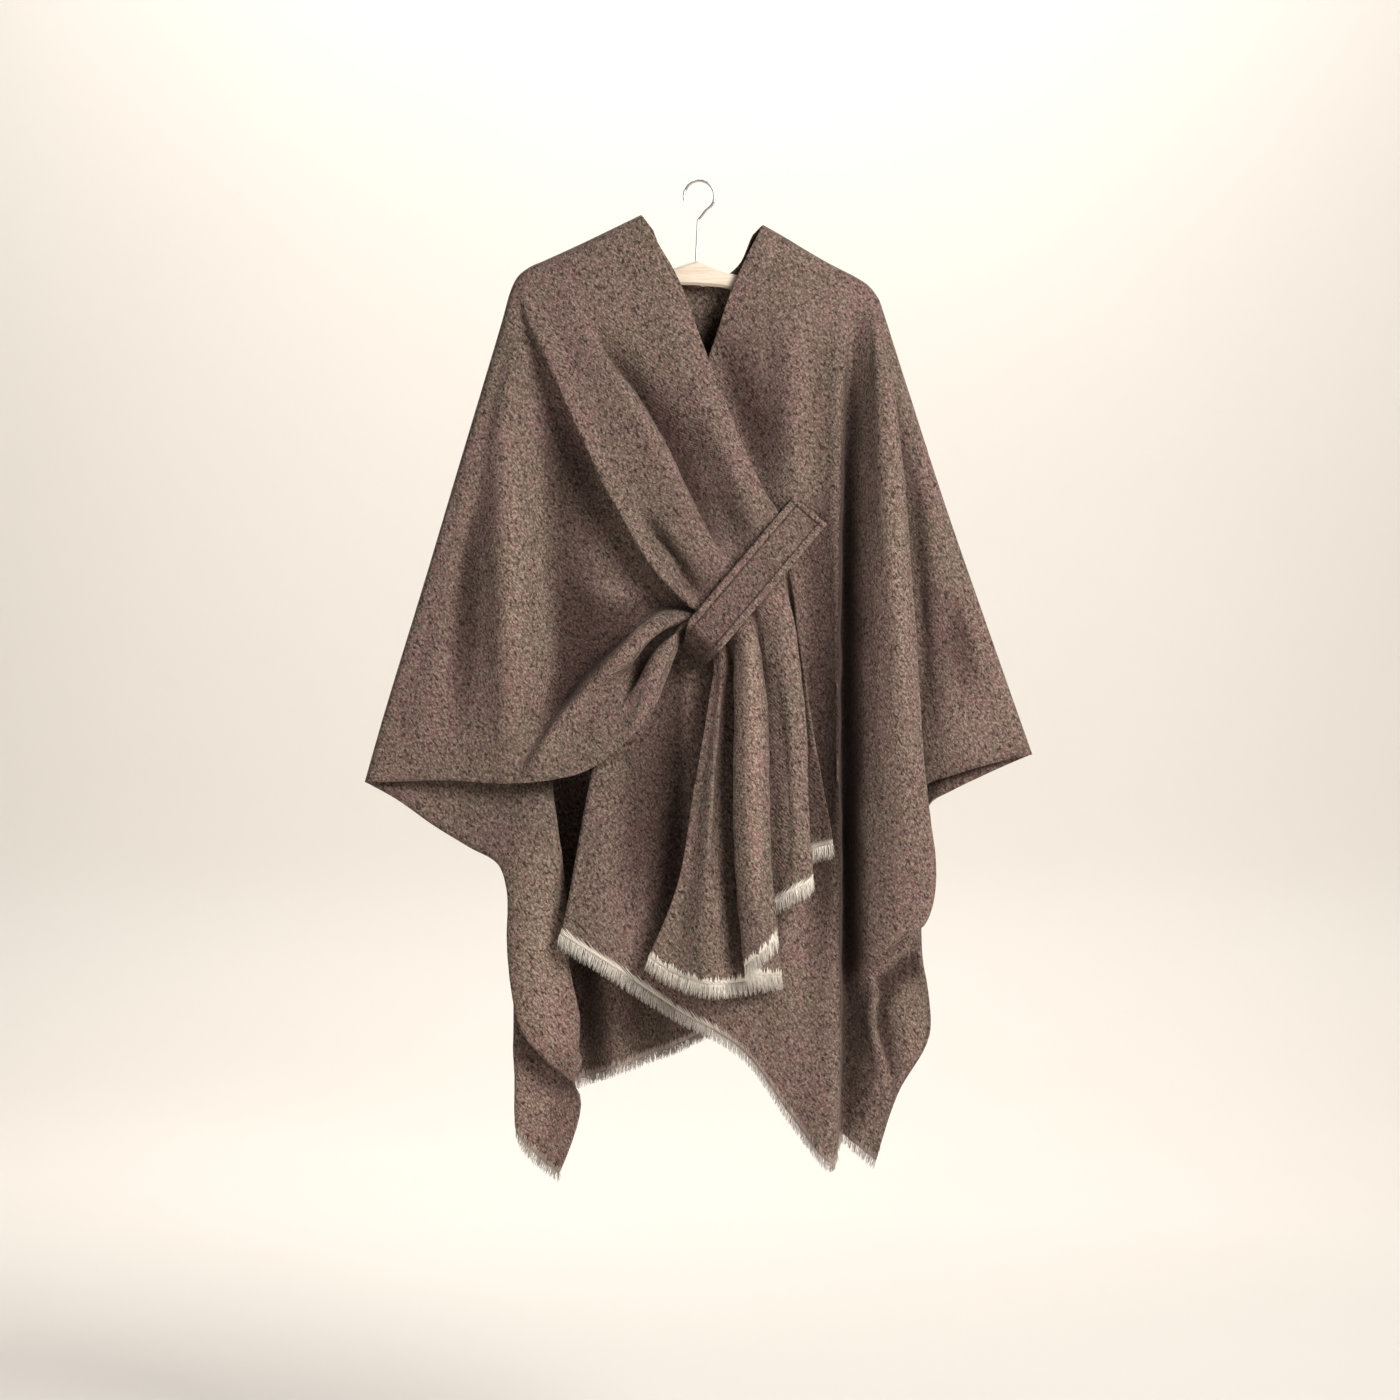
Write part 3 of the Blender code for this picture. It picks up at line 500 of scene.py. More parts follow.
def crossing_rows():
    """The right front's rows: upper part, the gathers in the loop, and the tail."""
    sides = (-STRAP_WIDTH / 2, 0, STRAP_WIDTH / 2)
    rows = []
    for row in rows_of(CROSSING_FRONT):
        name, parts = row.split(":")
        upper, gather, tail = [places(part) for part in parts.split("|")]
        loop = zip(gather[0][::2], sides, gather[0][1::2])
        rows.append((name, *upper, *[strap_place(*place) for place in loop], *tail))
    return rows


back = Panel(BACK, -1, column_step=5.0, row_step=8.0, wear=BACK_WEAR)
right = Panel(crossing_rows(), 1, column_step=3.2, row_step=5.5, wear=RIGHT_WEAR)
left = Panel(UNDER_FRONT, 1, column_step=4.5, row_step=7.5, wear=LEFT_WEAR)
panels = {"back": back, "right_front": right, "left_front": left}
for name, panel in panels.items():
    print(name, "columns and rows:", panel.points.shape[:2])

# %% [markdown]
# ## Creases
#
# Wool twill this heavy doesn't crumple. It makes long soft ridges where it is drawn to
# the loop, and shallow hollows where it hangs slack. They are pressed in one at a time: each
# has its own way over the cloth, its own width and height, and dies out at both ends. The
# lines and stations say which layer of the cloth a crease is on, because folds lie over each
# other. Most creases also paint shade into the colour where they sink and light where they rise,
# and one that hardly moves the cloth is there only for that painted shade or light.

# %% Creases, listed one by one
# Each row: height, width on its left, width on its right | lines | stations | way | and,
# where more shade or light is painted into its colour than its depth gives, how many times more.
CREASES = {
    "right_front": """
# the deep groove down the lapel, sharp on its left lip and soft on its right
-17 3.5 30 | 0 6 | 3 8.4 | -110 128, -87 160, -61 192, -31 240, -9 286, 12 330, 27 362 | 1.5
7 14 14 | 0 5 | 3 8 | -78 128, -48 178, -12 240, 14 290, 32 330
5 16 4 | 2 6 | 3 8 | -118 128, -96 164, -68 206, -38 250, -14 300, 8 342
# the rim of the band turned over near the loop
-11 3 8 | 4 6.4 | 5.5 8.4 | -64 314, -42 340, -23 366, -10 388, 0 404
# the wing sinks where it passes under the band
-7 40 8 | 7.3 14 | 3 8 | -184 140, -144 210, -112 272, -82 332, -52 384, -34 412
# the long soft ridge down the wing, the hollow on each side, and the outer fold
13 20 32 | 7.5 14 | 3 8 | -204 120, -198 230, -192 340, -190 450, -184 640
-13 20 40 | 7.5 14 | 3 8 | -166 190, -154 280, -148 360, -142 440, -134 530
-6 22 18 | 8 14 | 3 8 | -222 230, -232 330, -236 440, -238 560 | 2.8
-2 26 30 | 8 12 | 4.5 8 | -122 370, -118 420, -134 480 | 5
5 20 20 | 9 14 | 3 7 | -254 300, -268 400, -278 500, -282 560
# the crease over the swag, its first roll, the pocket, and its second roll
-15 24 6 | 8 14 | 4 8.8 | -8 402, -34 404, -62 420, -92 448, -126 484, -164 540, -188 590
11 9 10 | 9 14 | 4 8.8 | -8 410, -24 413, -50 427, -74 451, -111 488, -148 534, -172 580
-14 4 6 | 9 14 | 6 9 | -18 424, -30 432, -54 451, -70 480, -78 500
8 8 9 | 9 14 | 6 9 | -10 420, -26 436, -43 466, -52 495, -74 539
4 9 9 | 8 13 | 5 8 | -40 390, -80 392, -120 386
-4 10 10 | 8 13 | 5 8 | -60 402, -94 412, -134 412
# the falling end
-5 4 9 | 4 12 | 11 14 | 26 480, 20 560, 14 650, 8 740
-4 6 6 | 2 5 | 11 14 | 80 500, 86 580, 88 650, 88 700 | 1.5
1 9 9 | 5.6 8.4 | 9.5 14 | 48 400, 52 500, 52 596, 56 740 | 20
-1 14 18 | 0 1.7 | 10.4 14 | 116 540, 122 600, 130 700 | 15
""",
    "left_front": """
-14 34 34 | 0 3 | 3 6 | -40 150, -20 230, 10 300, 20 360
-14 42 12 | 0 4 | 5 11 | -30 430, -26 520, -22 600, -22 680, -20 760 | 1.2
6 20 20 | 0 2 | 6 12 | -92 540, -94 620, -96 690, -100 760
-9 14 28 | 0 4.6 | 3 6.6 | 8 110, 30 170, 56 244, 76 300 | 1.8
5 16 16 | 2 5 | 3 7 | 84 90, 88 150, 92 210, 92 262
# the strap's end is sewn down here, so the cloth under it is pulled flat
-1.6 20 20 | 2.4 5.2 | 5 7.5 | 88 286, 98 302, 112 320, 124 336 | 0
-6 14 14 | 3 6 | 3 8 | 120 110, 118 220, 114 330, 112 430
-6 18 18 | 3 5.4 | 5.5 10 | 112 300, 116 400, 118 500, 118 600, 116 700, 110 790 | 2.6
-2 42 40 | 0 3.2 | 7 11 | -80 520, -82 600, -84 680, -88 750 | 5.6
-2 34 34 | 1 5 | 3 6 | 92 60, 94 150, 92 260 | 3
-0.3 3 22 | 5.3 8 | 3.5 13 | 142 130, 141 320, 140 445, 140 600, 141 760, 142 900, 140 1040 | 80
-0.2 5 3 | 4.5 5.7 | 3.5 13 | 141 120, 138 320, 137 445, 137 600, 137 760, 137 900, 134 1040 | 45
1 5 22 | 6.5 9.4 | 3.2 9.3 | 166 130, 171 225, 174 330, 178 455, 182 590, 184 720 | 9
-2 10 22 | 10.6 13 | 3 8 | 206 200, 216 300, 226 400, 236 500, 244 590 | 7
7 12 10 | 7 9 | 3 9 | 186 170, 192 280, 198 400, 204 520, 208 640
-6 20 24 | 10 14 | 3 8 | 256 360, 262 430, 270 520 | 2.4
# the fold that drops below the ridge, its lip and the pockets under it
-4 3 22 | 7 12 | 9 12 | 248 740, 222 752, 202 766, 174 788 | 6
5 5 3 | 6 10 | 9 12.7 | 166 766, 177 791, 173 816, 184 868, 192 900 | 2.5
-6 3 15 | 6 10.4 | 9 12.7 | 170 774, 182 795, 179 820, 190 866, 198 904 | 3.2
3 14 14 | 7 12 | 10 13 | 222 790, 216 840, 204 890 | 5
5 22 22 | 10 14 | 3 8 | 232 300, 240 400, 250 500, 268 560
-6 16 16 | 2 6 | 8 13 | 30 640, 40 740, 66 830
# the shade in the pocket beside the drop fold's lip
-1 14 12 | 6 9 | 10.4 13 | 162 770, 166 820, 171 870, 166 940 | 12
6 18 14 | 2 6 | 7 13 | 84 560, 82 680, 84 790, 92 880
""",
    "back": """
-5 16 26 | 0 3 | 5 12 | -188 640, -184 720, -178 800, -172 880, -168 950
3 10 16 | 0 3 | 6 12 | -152 680, -146 760, -142 840 | 0
-2 40 40 | 0 3.4 | 5 10.4 | -160 590, -160 680, -158 780, -156 870, -160 930 | 7
1 44 44 | 0 4.6 | 10.4 12 | -162 820, -162 890, -164 960, -166 1030 | 22
-7 20 20 | 5 12 | 6 12 | -100 600, -96 700, -92 800, -90 860
6 16 16 | 6 13 | 6 12 | -60 640, -56 740, -54 840
8 22 22 | 8 20 | 3 8 | -70 120, -76 260, -64 420, -56 560
-8 18 26 | 8 20 | 3 9 | -20 150, -14 300, -6 440, 0 600
7 20 20 | 8 20 | 3 7 | 44 130, 52 260, 66 400
-7 18 18 | 12 21 | 3 9 | 98 140, 96 280, 92 440, 94 600
5 16 16 | 12 21 | 4 9 | 200 300, 190 420, 180 540
-5 20 14 | 0 8 | 3 7 | -214 260, -220 360, -236 470
""",
}
print({name: len(rows_of(rows)) for name, rows in CREASES.items()}, "creases")

# %% [markdown]
# Each point looks for the nearest place on a crease's way, and is moved along the cloth's
# outward side by a bell curve of how far off that is, wider on one side than on the other
# where the real crease is. The same amount is kept as painted shade where it sinks and painted
# light where it rises. A little smooth noise then takes the ironed look away.

# %% Press the creases in
# A crease's way is stepped this finely between two of its places, and it dies out at both
# ends as a sine to this power. It fades this far outside its lines and stations.
WAY_STEPS = 7
WAY_POWER = 0.7
WINDOW_FADE = 0.5
# The cloth's unevenness: its height and size in millimetres and what its seed is raised by.
# It fades in from the shoulder fold to this station.
UNEVEN = ((1.3, 34.0, 0.0), (0.5, 13.0, 40.0))
UNEVEN_FROM = 3.0


def within(at, ends):
    """1 between the ends, fading to 0 outside them."""
    return np.clip(np.minimum(at - ends[0], ends[1] - at) / WINDOW_FADE + 1, 0, 1)


def crease(row):
    """A crease's sizes, its lines, its stations, its way, and how many times its depth it paints
    as shade or light.
    """
    sizes, lines, stations, way, *paint_gain = [places(cell) for cell in row.split("|")]
    return sizes[0], lines[0], stations[0], way, paint_gain[0][0][0] if paint_gain else 1.0


def press(panel, creases):
    """Raises or sinks soft creases in a panel, each along its own way."""
    out = panel.outward()
    flat = panel.points[..., :2]
    moved = np.zeros(flat.shape[:2])
    nap = np.zeros(flat.shape[:2])
    for row in rows_of(creases):
        (height, left_width, right_width), lines, stations, way, paint_gain = crease(row)
        way = curve_through(way, [WAY_STEPS] * (len(way) - 1))
        starts, spans, run = way[:-1], np.diff(way, axis=0), run_along(way)
        downwards = 1 if spans[:, 1].sum() >= 0 else -1
        best = np.full(flat.shape[:2], 1e9)
        share = np.zeros(flat.shape[:2])
        wide = np.full(flat.shape[:2], float(left_width))
        for start, span, length, before in zip(starts, spans, np.diff(run), run):
            t = np.clip(((flat - start) @ span) / length**2, 0, 1)
            gap = np.linalg.norm(flat - start - t[..., None] * span, axis=2)
            nearer = gap < best
            best[nearer] = gap[nearer]
            share[nearer] = ((before + t * length) / run[-1])[nearer]
            to_right = (flat - start) @ np.array((span[1], -span[0])) * downwards
            wide[nearer] = np.where(to_right > 0, right_width, left_width)[nearer]
        fade = np.sin(np.pi * np.clip(share, 0.02, 0.98)) ** WAY_POWER
        window = within(panel.line, lines)[:, None] * within(panel.station, stations)
        here = height * np.exp(-((best / wide) ** 2)) * fade * window
        moved += here
        # Painted shade where the crease sinks and painted light where it rises, scaled by its
        # gain.
        nap += here * paint_gain
    panel.points = panel.points + out * moved[..., None]
    panel.nap = nap
    return moved


def soften(panel, height, size, seed):
    """The small unevenness of cloth that has been handled."""
    out = panel.outward()
    for i, column in enumerate(panel.points):
        for k, place in enumerate(column):
            wave = noise.noise(Vector(place / size) + Vector((seed, 0.0, 0.0)))
            fade = min(1.0, panel.station[k] / UNEVEN_FROM)
            column[k] = place + out[i, k] * wave * height * fade


for (name, panel), seed in zip(panels.items(), (3.0, 11.0, 23.0)):
    moved = press(panel, CREASES[name])
    for height, size, more in UNEVEN:
        soften(panel, height, size, seed + more)
    print(name, "creases from", round(moved.min(), 1), "to", round(moved.max(), 1), "mm")

# %% [markdown]
# ## Finish: heathered tweed
#
# Up close the cloth is salt and pepper: pale, mauve-brown and near-black fibres spun
# together, so every yarn is speckled, and a fine twill line runs across it on the bias. The
# flecks come from noise that leans across the scene, and the twill line and the frayed hem
# from flat coordinates, laid out in metres like the cut cloth.

# %% Mixing a finish
def titled(values):
    """Values under their inputs' names as Blender spells them."""
    return {key.title(): value for key, value in values.items()}


class Finish:
    """A material while it is mixed. Each helper adds a node and gives what comes out."""

    def __init__(self, name, roughness):
        self.material = bpy.data.materials.new(name)
        self.material.use_nodes = True
        self.tree = self.material.node_tree
        self.shader = self.tree.nodes["Principled BSDF"]
        own = self.node("TexCoord")
        self.own, self.flat = own.outputs["Object"], own.outputs["UV"]
        self.give(self.shader, {"Roughness": roughness})

    def give(self, node, values):
        """Links or sets a node's inputs, by name or number."""
        for socket, value in values.items():
            if isinstance(value, bpy.types.NodeSocket):
                self.tree.links.new(value, node.inputs[socket])
            else:
                node.inputs[socket].default_value = value

    def node(self, kind, values=(), **settings):
        """A new node of this kind."""
        made = self.tree.nodes.new("ShaderNode" + kind)
        for key, value in settings.items():
            setattr(made, key, value)
        self.give(made, dict(values))
        return made

    def moved(self, place, **values):
        """A place scaled, turned or shifted."""
        return self.node("Mapping", {"Vector": place, **titled(values)}).outputs[0]

    def specks(self, place, scale, detail=2.0, **values):
        """Noise of this scale."""
        values = {"Vector": place, "Scale": scale, "Detail": detail, **titled(values)}
        return self.node("TexNoise", values).outputs[0]

    def kept(self, name):
        """A value that the piece keeps for each of its points."""
        return self.node("Attribute", attribute_name=name).outputs["Fac"]

    def maths(self, way, first, second):
        """One sum of two values."""
        return self.node("Math", {0: first, 1: second}, operation=way).outputs[0]

    def times(self, first, second):
        """One value times another."""
        return self.maths("MULTIPLY", first, second)

    def steps(self, value, low, high):
        """0 below the low value, 1 above the high one, and smooth between them."""
        ends = {0: value, 1: low, 2: high, 3: 0.0, 4: 1.0}
        return self.node("MapRange", ends, interpolation_type="SMOOTHSTEP").outputs[0]

    def blend(self, share, first, second, way="MIX"):
        """Mixes two colours by a share."""
        made = self.node("Mix", data_type="RGBA", blend_type=way)
        colours = [(*c, 1.0) if isinstance(c, tuple) else c for c in (first, second)]
        self.give(made, {0: share, 6: colours[0], 7: colours[1]})
        return made.outputs[2]

    def relief(self, height, strength, distance):
        """Raises the surface a little, in metres."""
        values = {"Height": height, "Strength": strength, "Distance": distance}
        self.give(self.shader, {"Normal": self.node("Bump", values).outputs[0]})

    def rough(self, value, low, high):
        """Roughness between two ends."""
        made = self.node("MapRange", {0: value, 3: low, 4: high})
        self.give(self.shader, {"Roughness": made.outputs[0]})


print("the helpers are", [name for name in vars(Finish) if not name.startswith("_")])

# %% [markdown]
# The colours are mixed in order: a ground that drifts between a pinkish and an olive
# brown over a hand's breadth, the twill line, pale fibres, dark fibres, and the undyed cream
# warp, which shows in uneven teeth where the weft has been pulled out above the fringe. Last
# shade and light are painted in: lighter on raised creases, darker in sunk creases and in
# hollows.

# %% Tweed
MAUVE = (0.176, 0.102, 0.094)
OLIVE = (0.136, 0.104, 0.076)
TWILL_LINE = (0.10, 0.070, 0.062)
PALE_FIBRE = (0.375, 0.288, 0.240)
DARK_FIBRE = (0.026, 0.016, 0.014)
CREAM = (0.80, 0.74, 0.65)
DULL_WARP = (0.36, 0.27, 0.24)
# What the colour is multiplied by for painted light on a raised crease, painted shade in a
# hollow and painted shade in a sunk crease, and how much of that is used.
PAINTED_HIGHLIGHT_TONE, PAINTED_HIGHLIGHT_SHARE = (1.50, 1.47, 1.44), 0.80
HOLLOW_SHADE_TONE, HOLLOW_SHADE_SHARE = (0.30, 0.25, 0.23), 0.85
CREASE_SHADE_TONE, CREASE_SHADE_SHARE = (0.20, 0.15, 0.145), 0.80
# A crease this deep, in millimetres, gets the full painted shade or light.
FULL_PAINT_DEPTH = 16.0
# The weft is pulled out over this length, in metres.
FRAYED = 0.022


def tweed(name, frayed):
    """The cloth's finish. Frayed cloth shows cream warp near its hem."""
    mix = Finish(name, 0.92)
    leaning = mix.moved(mix.own, rotation=(0.0, math.radians(32), 0.0))
    slub = mix.moved(leaning, scale=(1.0, 1.0, 0.62))
    shifted = mix.moved(leaning, location=(0.31, 0.17, 0.52), scale=(1.0, 1.0, 0.52))
    patches = mix.specks(mix.own, 9.0, 3.0)
    small = mix.specks(mix.own, 95.0)
    pale = mix.specks(slub, 560.0, roughness=0.6)
    dark = mix.specks(shifted, 430.0, 2.5, roughness=0.6)
    wave = {"Scale": 175.0, "Distortion": 2.2, "Detail": 2.0, "Detail Scale": 2.0}
    twill = mix.node("TexWave", {"Vector": mix.flat, **wave}, bands_direction="DIAGONAL")
    twill = twill.outputs["Fac"]
    drift = mix.steps(patches, 0.38, 0.62)
    ground, other = mix.blend(drift, MAUVE, OLIVE), mix.blend(drift, OLIVE, MAUVE)
    colour = mix.blend(mix.steps(small, 0.50, 0.66), ground, other)
    colour = mix.blend(mix.times(twill, 0.28), colour, TWILL_LINE)
    colour = mix.blend(mix.times(mix.steps(pale, 0.45, 0.64), 0.68), colour, PALE_FIBRE)
    colour = mix.blend(mix.times(mix.steps(dark, 0.49, 0.67), 0.86), colour, DARK_FIBRE)
    if frayed:
        teeth = mix.specks(mix.moved(mix.flat, scale=(1.0, 0.07, 1.0)), 620.0)
        shown = mix.maths("SUBTRACT", teeth, mix.times(mix.kept("to_hem"), 1 / FRAYED))
        warp = mix.blend(mix.kept("worn"), CREAM, DULL_WARP)
        colour = mix.blend(mix.steps(shown, 0.26, 0.36), colour, warp)
    # Painted light and shade: lighter on raised creases, darker in sunk creases, strap grooves
    # and hollows.
    pressed = mix.kept("pressed")
    painted_highlight = mix.times(mix.steps(pressed, 0.2, 1.0), PAINTED_HIGHLIGHT_SHARE)
    hollow_shade = mix.maths("SUBTRACT", 1.0, mix.steps(mix.kept("open"), 0.25, 0.92))
    hollow_shade = mix.times(hollow_shade, HOLLOW_SHADE_SHARE)
    crease_shade = mix.times(mix.steps(mix.times(pressed, -1.0), 0.15, 1.1), CREASE_SHADE_SHARE)
    for share, tone in ((painted_highlight, PAINTED_HIGHLIGHT_TONE), (hollow_shade, HOLLOW_SHADE_TONE), (crease_shade, CREASE_SHADE_TONE)):
        colour = mix.blend(share, colour, tone, "MULTIPLY")
    mix.relief(mix.maths("ADD", pale, mix.times(twill, 0.5)), 0.55, 0.0011)
    mix.rough(patches, 0.84, 0.97)
    mix.give(mix.shader, {
        "Base Color": colour,
        "Sheen Weight": 0.12,
        "Sheen Roughness": 0.55,
        "Sheen Tint": (0.80, 0.70, 0.64, 1.0),
        "Specular IOR Level": 0.15,
    })
    return mix.material


cloth_finish = tweed("tweed cloth", True)
strap_finish = tweed("tweed strap", False)
print("finishes:", cloth_finish.name, "and", strap_finish.name)

# %% [markdown]
# ## The three panels
#
# Each panel becomes a sheet with the cloth's own thickness. Its flat coordinates are
# running lengths, down the thread from the shoulder and across the weft from the middle.
# Records keep how far each point lies from the hem, for the fraying, and how much shade or light
# is painted on it.

# %% Sheets with two faces
def lay_flat(points):
    """Flat coordinates in metres: across from the middle column, and down the thread."""
    down = np.array([run_along(column) for column in points])
    across = np.array([run_along(row) for row in points.transpose(1, 0, 2)]).T
    across -= across[len(points) // 2]
    return across * MM, down * MM


def squares(number):
    """The faces between the numbered points of a sheet."""
    corners = [number[:-1, :-1], number[:-1, 1:], number[1:, 1:], number[1:, :-1]]
    return np.stack(corners, axis=-1).reshape(-1, 4)


def solid(name, points, faces, finish):
    """A smooth mesh in its finish."""
    mesh = bpy.data.meshes.new(name)
    mesh.from_pydata(points, [], faces)
    mesh.materials.append(finish)
    mesh.shade_smooth()
    return placed(name, mesh)


def record(made, name, values):
    """Keeps one value for each point of a piece, for its finish to read."""
    made.data.attributes.new(name, "FLOAT", "POINT").data.foreach_set("value", values)


def sheet_object(name, points, finish, thickness):
    """A closed sheet: its two faces half the thickness apart each way, and its rim."""
    columns, rows = points.shape[:2]
    half = face_way(points) * thickness / 2
    both = world(np.stack([points + half, points - half])).reshape(-1, 3)
    number = np.arange(columns * rows).reshape(columns, rows)
    front = squares(number)
    back_face = front[:, ::-1] + columns * rows
    round_it = [number[:, 0], number[-1, 1:], number[-2::-1, -1], number[0, -2:0:-1]]
    round_it = np.concatenate(round_it)
    after = np.roll(round_it, -1)
    rim = np.stack([round_it, after, after + columns * rows, round_it + columns * rows], axis=-1)
    faces = np.concatenate([front, back_face, rim]).tolist()
    made = solid(name, both.tolist(), faces, finish)
    across, down = lay_flat(points)
    flat = np.tile(np.stack([across, down], axis=-1).reshape(-1, 2), (2, 1))
    corner = np.empty(len(made.data.loops), int)
    made.data.loops.foreach_get("vertex_index", corner)
    made.data.uv_layers.new(name="flat").data.foreach_set("uv", flat[corner].ravel())
    record(made, "to_hem", np.tile((down[:, -1:] - down).reshape(-1), 2))
    return made


def area_of(points):
    """The area of a sheet, in square metres."""
    one = np.cross(points[1:, :-1] - points[:-1, :-1], points[:-1, 1:] - points[:-1, :-1])
    two = np.cross(points[:-1, 1:] - points[1:, 1:], points[1:, :-1] - points[1:, 1:])
    return (np.linalg.norm(one, axis=2).sum() + np.linalg.norm(two, axis=2).sum()) / 2 * MM**2


print("a point 100 mm across and down is at", world((100, 100, 0)))

# %% [markdown]
# All three panels wear the same tweed and hang on the one body that this object has. Each
# stands in for the solid of its name.

# %% Lay the panels
CLOTH = 1.8
cloths = {}
for name, panel in panels.items():
    made = sheet_object(name + "_cloth", panel.points, cloth_finish, CLOTH)
    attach(made, "root")
    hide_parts(name)
    outer = 1 if (face_way(panel.points) * panel.outward()).sum() > 0 else -1
    # Painted shade and light from the creases, kept on both faces.
    nap = panel.nap.ravel() * outer / FULL_PAINT_DEPTH
    record(made, "pressed", np.concatenate([nap, -nap]))
    record(made, "worn", np.tile(np.repeat(panel.worn, panel.points.shape[1]), 2))
    cloths[name] = made
    area = round(area_of(panel.points), 3)
    print(made.name, "faces", len(made.data.polygons), "area", area, "square metres")

# %% [markdown]
# ## Fringe
#
# The hems aren't sewn. The weft is pulled out for about 15 mm and the undyed warp ends
# hang free, thick and crowded, a little clumped and never quite straight. Every end is a
# thin tapered strand of its own, so the tips make a broken line as in the photograph.

# %% Fringe finish
def fringe_finish():
    """Cream wool that is greyer at the root and differs from strand to strand."""
    mix = Finish("cream wool ends", 0.88)
    strand = mix.kept("strand")
    fibre = mix.specks(mix.own, 900.0)
    colour = mix.blend(mix.steps(strand, 0.0, 1.0), (0.90, 0.86, 0.79), (0.78, 0.71, 0.62))
    colour = mix.blend(mix.steps(strand, 0.93, 0.95), colour, (0.30, 0.22, 0.18))
    colour = mix.blend(mix.times(mix.kept("worn"), 0.88), colour, (0.38, 0.30, 0.27))
    root = mix.maths("SUBTRACT", 1.0, mix.steps(mix.kept("along"), 0.0, 0.45))
    colour = mix.blend(mix.times(root, 0.18), colour, (0.42, 0.34, 0.28))
    colour = mix.blend(mix.times(fibre, 0.12), colour, (0.55, 0.48, 0.40))
    mix.relief(fibre, 0.3, 0.0003)
    mix.give(mix.shader, {
        "Base Color": colour,
        "Sheen Weight": 0.25,
        "Specular IOR Level": 0.15,
    })
    return mix.material


cream_finish = fringe_finish()
print("finish:", cream_finish.name)

# %% [markdown]
# The strands are set along the cloth's own last row and point to the tips of its lines, so
# the fringe follows every fold. One seeded draw for each hem makes them uneven, and the same
# each time. Three sides are enough for a yarn less than a millimetre thick.

# %% Fringe strands
# One strand's spacing, radius, taper, and how far its root reaches up into the cloth.
STRAND_GAP = 0.30
STRAND_RADIUS = 0.40
STRAND_TAPER = 0.72
STRAND_ROOT = 0.7
# Its rings by their share of its length, and its three sides.
STRAND_RINGS = (0.0, 0.3, 0.65, 1.0)
STRAND_TURNS = (0.0, 2.094, 4.189)
# The shortest and the longest, as a share of the fringe's length.
STRAND_LENGTHS = (0.78, 1.12)
# How wide a clump is, and how far its strands are drawn to its middle.
CLUMP = 5.2
CLUMP_PULL = 0.38


def strand_faces():
    """The faces of one three-sided strand: its sides and its two ends."""
    each = 3 * len(STRAND_RINGS)
    sides = [
        [3 * r + a, 3 * r + 3 + a, 3 * r + 3 + (a + 1) % 3, 3 * r + (a + 1) % 3]
        for r in range(len(STRAND_RINGS) - 1)
        for a in range(3)
    ]
    return sides + [[0, 1, 2], [each - 1, each - 2, each - 3]]


def strands(name, hem, tips, wear, seed):
    """One mesh of loose warp ends along a hem."""
    chance = np.random.default_rng(seed)
    run = run_along(hem)
    at = np.arange(0.3, run[-1] - 0.3, STRAND_GAP)
    at = at + chance.uniform(-0.25, 0.25, len(at))
    root = np.stack([np.interp(at, run, hem[:, k]) for k in range(3)], axis=1)
    tip = np.stack([np.interp(at, run, tips[:, k]) for k in range(3)], axis=1)
    dull = np.interp(at, run, wear)
    way = unit(tip - root)
    along_hem = unit(np.gradient(root, axis=0))
    out = unit(np.cross(way, along_hem))
    length = np.linalg.norm(tip - root, axis=1) * chance.uniform(*STRAND_LENGTHS, len(at))
    # Neighbours lean together into clumps, and the clumps sway along the hem.
    clump = np.round(at / CLUMP + 0.35 * np.sin(at / 9.0))
    pull = (clump * CLUMP - at) * CLUMP_PULL
    lean = pull + 1.3 * np.sin(at / 17.0 + seed) + chance.normal(0, 0.8, len(at))
    bow = chance.normal(0, 0.7, len(at))
    depth = chance.uniform(-0.55, 0.55, len(at))
    lift = chance.normal(0, 0.9, len(at)) + 0.8 * np.sin(clump * 2.3)
    rings = []
    for share in STRAND_RINGS:
        aside = lean * share**1.5 + bow * math.sin(math.pi * share)
        middle = (
            root
            + way * (length * share - STRAND_ROOT)[:, None]
            + along_hem * aside[:, None]
            + out * (depth + lift * share)[:, None]
        )
        radius = STRAND_RADIUS * (1.0 - STRAND_TAPER * share)
        for turn in STRAND_TURNS:
            side = along_hem * math.cos(turn) + out * math.sin(turn)
            rings.append(middle + radius * side)
    points = np.stack(rings, axis=1)
    count, each = points.shape[:2]
    one = strand_faces()
    faces = [[k * each + v for v in face] for k in range(count) for face in one]
    made = solid(name, world(points).reshape(-1, 3).tolist(), faces, cream_finish)
    record(made, "strand", np.repeat(chance.uniform(0, 1, count), each))
    record(made, "along", np.tile(np.repeat(STRAND_RINGS, 3), count))
    record(made, "worn", np.repeat(dull, each))
    return made, count


print("a strand has", len(strand_faces()), "faces")

# %% [markdown]
# Each hem gets a fringe of its own, drawn from a seed of its own, in place of its strip of
# locks.

# %% Hang the fringes
for (name, panel), seed in zip(panels.items(), (5, 6, 7)):
    made, count = strands(name + "_ends", panel.points[:, -1], panel.tips, panel.worn, seed)
    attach(made, "root")
    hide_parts(name + "_fringe")
    print(made.name, "strands", count)

# %% [markdown]
# ## The strap loop
#
# The strap is a doubled band of the same cloth, 42 mm wide, sewn along both edges. The
# sewing draws in a groove on each side and leaves a raised edge, and a seam across the
# top holds it to the left front. It passes over the gathers, round them and back under.

# %% Strap
# How far the stitched grooves lie from the strap's edges and from its end, and how far
# along it turns back, in millimetres. The strap is stepped this finely along and across.
EDGE = 6.6
SEAM = 5.6
TURN = 176.0
